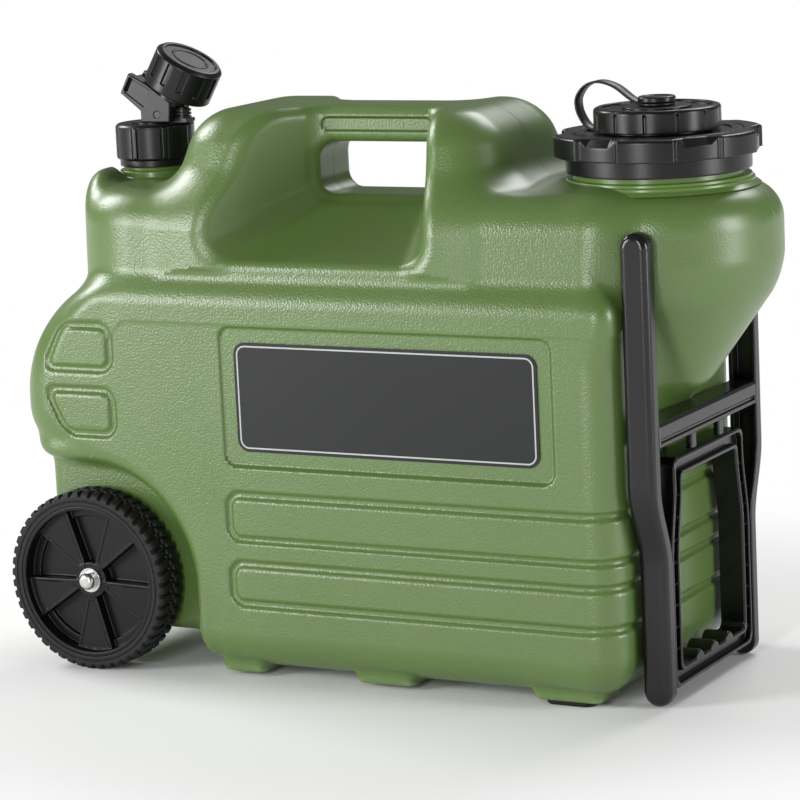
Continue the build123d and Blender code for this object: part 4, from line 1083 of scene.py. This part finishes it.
def plastic(name, groups, colours, roughness, pebbles, depth, edge_highlight=None, shine=0.5, blown=False):
    """Moulded plastic with grain, soft shade differences and a painted highlight on sharp outer edges;
    colours in eight bits.
    """
    grain, edge_light_group = groups
    material, tree, shader = new_material(name)
    texture = grain_outputs(tree, grain, pebbles)
    shade, relief = texture["Shade"], texture["Height"]
    base = mix_colours(tree, shade, from_srgb(colours[0]), from_srgb(colours[1]))
    # A pale colour mixed in on sharp outer edges paints a highlight there.
    if edge_highlight:
        highlit_edges = add_node(tree, "ShaderNodeGroup", node_tree=edge_light_group).outputs["Wear"]
        base = mix_colours(tree, highlit_edges, base, from_srgb(edge_highlight))
    rough = ranged(tree, shade, "LINEAR", To_Min=roughness - 0.05, To_Max=roughness + 0.05)
    if blown:
        relief = math_node(tree, "MULTIPLY", relief, side_faces(tree, 0.45, 0.85))
        relief = math_node(tree, "ADD", relief, math_node(tree, "MULTIPLY", parting_line(tree), 1.6))
    normal = bent_normal(tree, relief, depth)
    fill(tree, shader, Base_Color=base, Roughness=rough, Normal=normal, Specular_IOR_Level=shine)
    return material


def steel(name, grain):
    """Zinc plated steel with fine turning marks and dull patches."""
    material, tree, shader = new_material(name)
    texture = grain_outputs(tree, grain, (2600.0, 0.6))
    base = mix_colours(tree, texture["Shade"], (0.50, 0.50, 0.49), (0.66, 0.66, 0.65))
    rough = ranged(tree, texture["Shade"], "LINEAR", To_Min=0.22, To_Max=0.36)
    normal = bent_normal(tree, texture["Height"], 0.02)
    fill(tree, shader, Base_Color=base, Roughness=rough, Normal=normal, Metallic=1.0)
    return material


def label_finish(name, grain):
    """Satin plate with a thin pale border line inside its edge."""
    material, tree, shader = new_material(name)
    texture = grain_outputs(tree, grain, (1400.0, 0.4))
    parts = parts_of(tree, piece_place(tree))
    squares = []
    for axis, middle, half in zip("XZ", LABEL_MIDDLE, LABEL_HALF):
        away = math_node(tree, "ABSOLUTE", math_node(tree, "SUBTRACT", parts[axis], middle * MM))
        away = math_node(tree, "SUBTRACT", away, (half - LABEL_CORNER) * MM)
        away = math_node(tree, "MAXIMUM", away, 0.0)
        squares.append(math_node(tree, "POWER", away, 2.0))
    far = math_node(tree, "SQRT", math_node(tree, "ADD", *squares))
    away = math_node(tree, "SUBTRACT", far, LABEL_CORNER * MM)
    away = math_node(tree, "ABSOLUTE", math_node(tree, "ADD", away, LABEL_LINE * MM))
    line = ranged(tree, away, From_Min=0.62 * MM, From_Max=0.42 * MM)
    base = mix_colours(tree, texture["Shade"], from_srgb((34, 35, 36)), from_srgb((39, 40, 41)))
    base = mix_colours(tree, line, base, from_srgb((176, 180, 178)))
    normal = bent_normal(tree, texture["Height"], 0.02)
    fill(tree, shader, Base_Color=base, Roughness=0.34, Normal=normal, Specular_IOR_Level=0.3)
    return material


def area_lamp(name, place, aim, width, height, power):
    """Soft lamp at place, turned to aim, both in metres."""
    lamp = bpy.data.lights.new(name, "AREA")
    lamp.shape = "RECTANGLE"
    lamp.size = width
    lamp.size_y = height
    lamp.energy = power
    holder = place_object(name, lamp)
    holder.location = place
    holder.rotation_euler = (Vector(aim) - Vector(place)).to_track_quat("-Z", "Y").to_euler()


def build_stage():
    """Pale floor, white surroundings and soft lamps."""
    floor = bpy.data.meshes.new("studio_floor")
    corners = [(a * FLOOR_HALF, b * FLOOR_HALF, 0) for a, b in ((-1, -1), (1, -1), (1, 1), (-1, 1))]
    floor.from_pydata(corners, [], [(0, 1, 2, 3)])
    holder = place_object("studio_floor", floor)
    material, tree, shader = new_material("studio_paper")
    fill(tree, shader, Base_Color=(0.93, 0.93, 0.93, 1.0), Roughness=0.9, Specular_IOR_Level=0.1)
    glow = add_node(tree, "ShaderNodeEmission", Strength=1.0)
    where = tree.nodes.new("ShaderNodeNewGeometry").outputs["Position"]
    length = add_node(tree, "ShaderNodeVectorMath", operation="LENGTH", Vector=where)
    low, high = FLOOR_ZONE
    far = ranged(tree, length.outputs["Value"], From_Min=low, From_Max=high)
    mixer = tree.nodes.new("ShaderNodeMixShader")
    for socket, value in zip(mixer.inputs, (far, shader.outputs[0], glow.outputs[0])):
        tree.links.new(value, socket)
    fill(tree, tree.nodes["Material Output"], Surface=mixer.outputs[0])
    floor.materials.append(material)
    world = bpy.data.worlds.new("studio")
    bpy.context.scene.world = world
    world.use_nodes = True
    tree = world.node_tree
    path = tree.nodes.new("ShaderNodeLightPath").outputs
    seen = math_node(tree, "MAXIMUM", path["Is Camera Ray"], path["Is Transmission Ray"])
    strength = ranged(tree, seen, "LINEAR", To_Min=AIR_LIGHT, To_Max=1.0)
    fill(tree, tree.nodes["Background"], Color=(1.0, 1.0, 1.0, 1.0), Strength=strength)
    for lamp in LAMPS:
        area_lamp(*lamp)


def build_camera():
    """Camera at the photograph's viewing angle."""
    azimuth, elevation, roll = np.radians(CAMERA_TURNS)
    level = np.cos(elevation)
    back = Vector((np.sin(azimuth) * level, -np.cos(azimuth) * level, np.sin(elevation)))
    right = Vector((np.cos(azimuth), np.sin(azimuth), 0.0))
    up = back.cross(right)
    tilted_right = right * np.cos(roll) + up * np.sin(roll)
    tilted_up = up * np.cos(roll) - right * np.sin(roll)
    data = bpy.data.cameras.new("photo_camera")
    data.sensor_fit = "HORIZONTAL"
    data.sensor_width = 36.0
    data.lens = CAMERA_LENS
    data.clip_end = 60.0
    camera = place_object("photo_camera", data)
    turn = Matrix((tilted_right, tilted_up, back)).transposed()
    place = Vector(CAMERA_AIM) + back * CAMERA_DISTANCE
    camera.matrix_world = Matrix.Translation(place) @ turn.to_4x4()
    bpy.context.scene.camera = camera


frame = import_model()
bpy.context.scene.view_settings.view_transform = "Standard"
build_camera()
build_stage()

grain = make_grain_group()
groups = (grain, make_edge_highlight_group())
# The pale edge colours given to these plastics are painted highlights on their sharp outer edges.
TANK_GREEN = plastic("tank_green", groups, ((80, 106, 50), (87, 113, 56)), 0.34, (760.0, 1.0), 0.16,
                     edge_highlight=(140, 165, 112), shine=0.8, blown=True)
NECK_GREEN = plastic("neck_green", groups, ((88, 116, 56), (95, 123, 62)), 0.26, (900.0, 0.3), 0.03)
CAP_BLACK = plastic("cap_black", groups, ((13, 13, 14), (18, 18, 19)), 0.30, (1900.0, 0.6), 0.04,
                    edge_highlight=(62, 62, 64), shine=0.36)
FRAME_BLACK = plastic("frame_black", groups, ((12, 12, 13), (17, 17, 18)), 0.22, (1500.0, 0.5), 0.03,
                      edge_highlight=(52, 52, 54))
HUB_BLACK = plastic("hub_black", groups, ((12, 12, 13), (17, 17, 18)), 0.36, (1300.0, 0.8), 0.05,
                    edge_highlight=(66, 66, 68), shine=0.24)
STRAP_BLACK = plastic("strap_black", groups, ((18, 18, 19), (23, 23, 24)), 0.42, (1500.0, 0.6), 0.03)
TYRE_RUBBER = plastic("tyre_rubber", groups, ((11, 11, 11), (16, 16, 16)), 0.60, (900.0, 0.8), 0.06,
                      edge_highlight=(48, 48, 48), shine=0.35)
SEAL_RUBBER = plastic("seal_rubber", groups, ((14, 14, 14), (20, 20, 20)), 0.70, (1200.0, 0.8), 0.04,
                      shine=0.3)
STEEL = steel("zinc_steel", grain)
LABEL_FINISH = label_finish("label_satin", grain)

coarse = 1.0
SHELL = ("tank_side_walls", "tank_floor", "tank_right_end", "tank_chin", "tank_filler_deck",
         "tank_wheel_arches", "tank_axle_tunnel", "tank_waist_floor", "tank_left_end",
         "tank_left_shoulder", "tank_tap_deck", "tank_handle_bar", "tank_handle_ends", "tank_grip_floor")
tank = formed("tank_skin", tank_form, (-270, -106, 0), (272, 106, 392), 2.1 * coarse, TANK_GREEN)
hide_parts(*SHELL)
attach(tank, "tank")

necks = [turned("filler_neck", FILLER_NECK, NECK_GREEN, FILLER_X, 240),
         turned("tap_neck", TAP_NECK_PROFILE, NECK_GREEN, TAP_X, 120)]
for neck in necks:
    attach(neck, "tank")

DETAILED = [
    ("filler_cap", filler_cap_form, 0.75, CAP_BLACK, "filler_cap"),
    ("small_cap", small_cap_form, 0.6, CAP_BLACK, "small_cap"),
    ("cap_button", button_form, 0.45, CAP_BLACK, "small_carriage"),
    ("tap_collar", collar_form, 0.5, CAP_BLACK, "tap_collar"),
    ("tap_head", head_form, 0.5, CAP_BLACK, "tap"),
    ("tap_knob", knob_form, 0.5, CAP_BLACK, "tap_knob"),
    ("wheel_hub_front", hub_form, 0.75, HUB_BLACK, "wheel_front"),
    ("wheel_hub_rear", hub_form, 0.75, HUB_BLACK, "wheel_rear"),
    ("tyre_front", tyre_form, 0.75, TYRE_RUBBER, "wheel_front"),
    ("tyre_rear", tyre_form, 0.75, TYRE_RUBBER, "wheel_rear"),
    ("pull_frame", frame_form, 0.95, FRAME_BLACK, "pull_frame"),
    ("pull_handle", loop_form, 0.85, FRAME_BLACK, "pull_handle"),
]
SLOTS = {node["node"]: node["material_slot"] for node in frame["record"]["subparts"]}
for node, form, step, material, body in DETAILED:
    low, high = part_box(node)
    low = [v / MM - 1.0 for v in low]
    high = [v / MM + 1.0 for v in high]
    piece = formed("shaped_" + node, form, low, high, step * coarse, material)
    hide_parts(node)
    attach(piece, body)

strap = swept_strap("shaped_strap", STRAP_BLACK)
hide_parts("cap_strap")
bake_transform(strap)

FINISHES = {"black_plastic": CAP_BLACK, "steel": STEEL, "seal_rubber": SEAL_RUBBER,
            "foot_rubber": SEAL_RUBBER, "label_dark": LABEL_FINISH}
replaced = set(SHELL) | {entry[0] for entry in DETAILED} | {"cap_strap"}
for name, node in frame["nodes"].items():
    if name not in replaced:
        node.data.materials.clear()
        node.data.materials.append(FINISHES[SLOTS[name]])
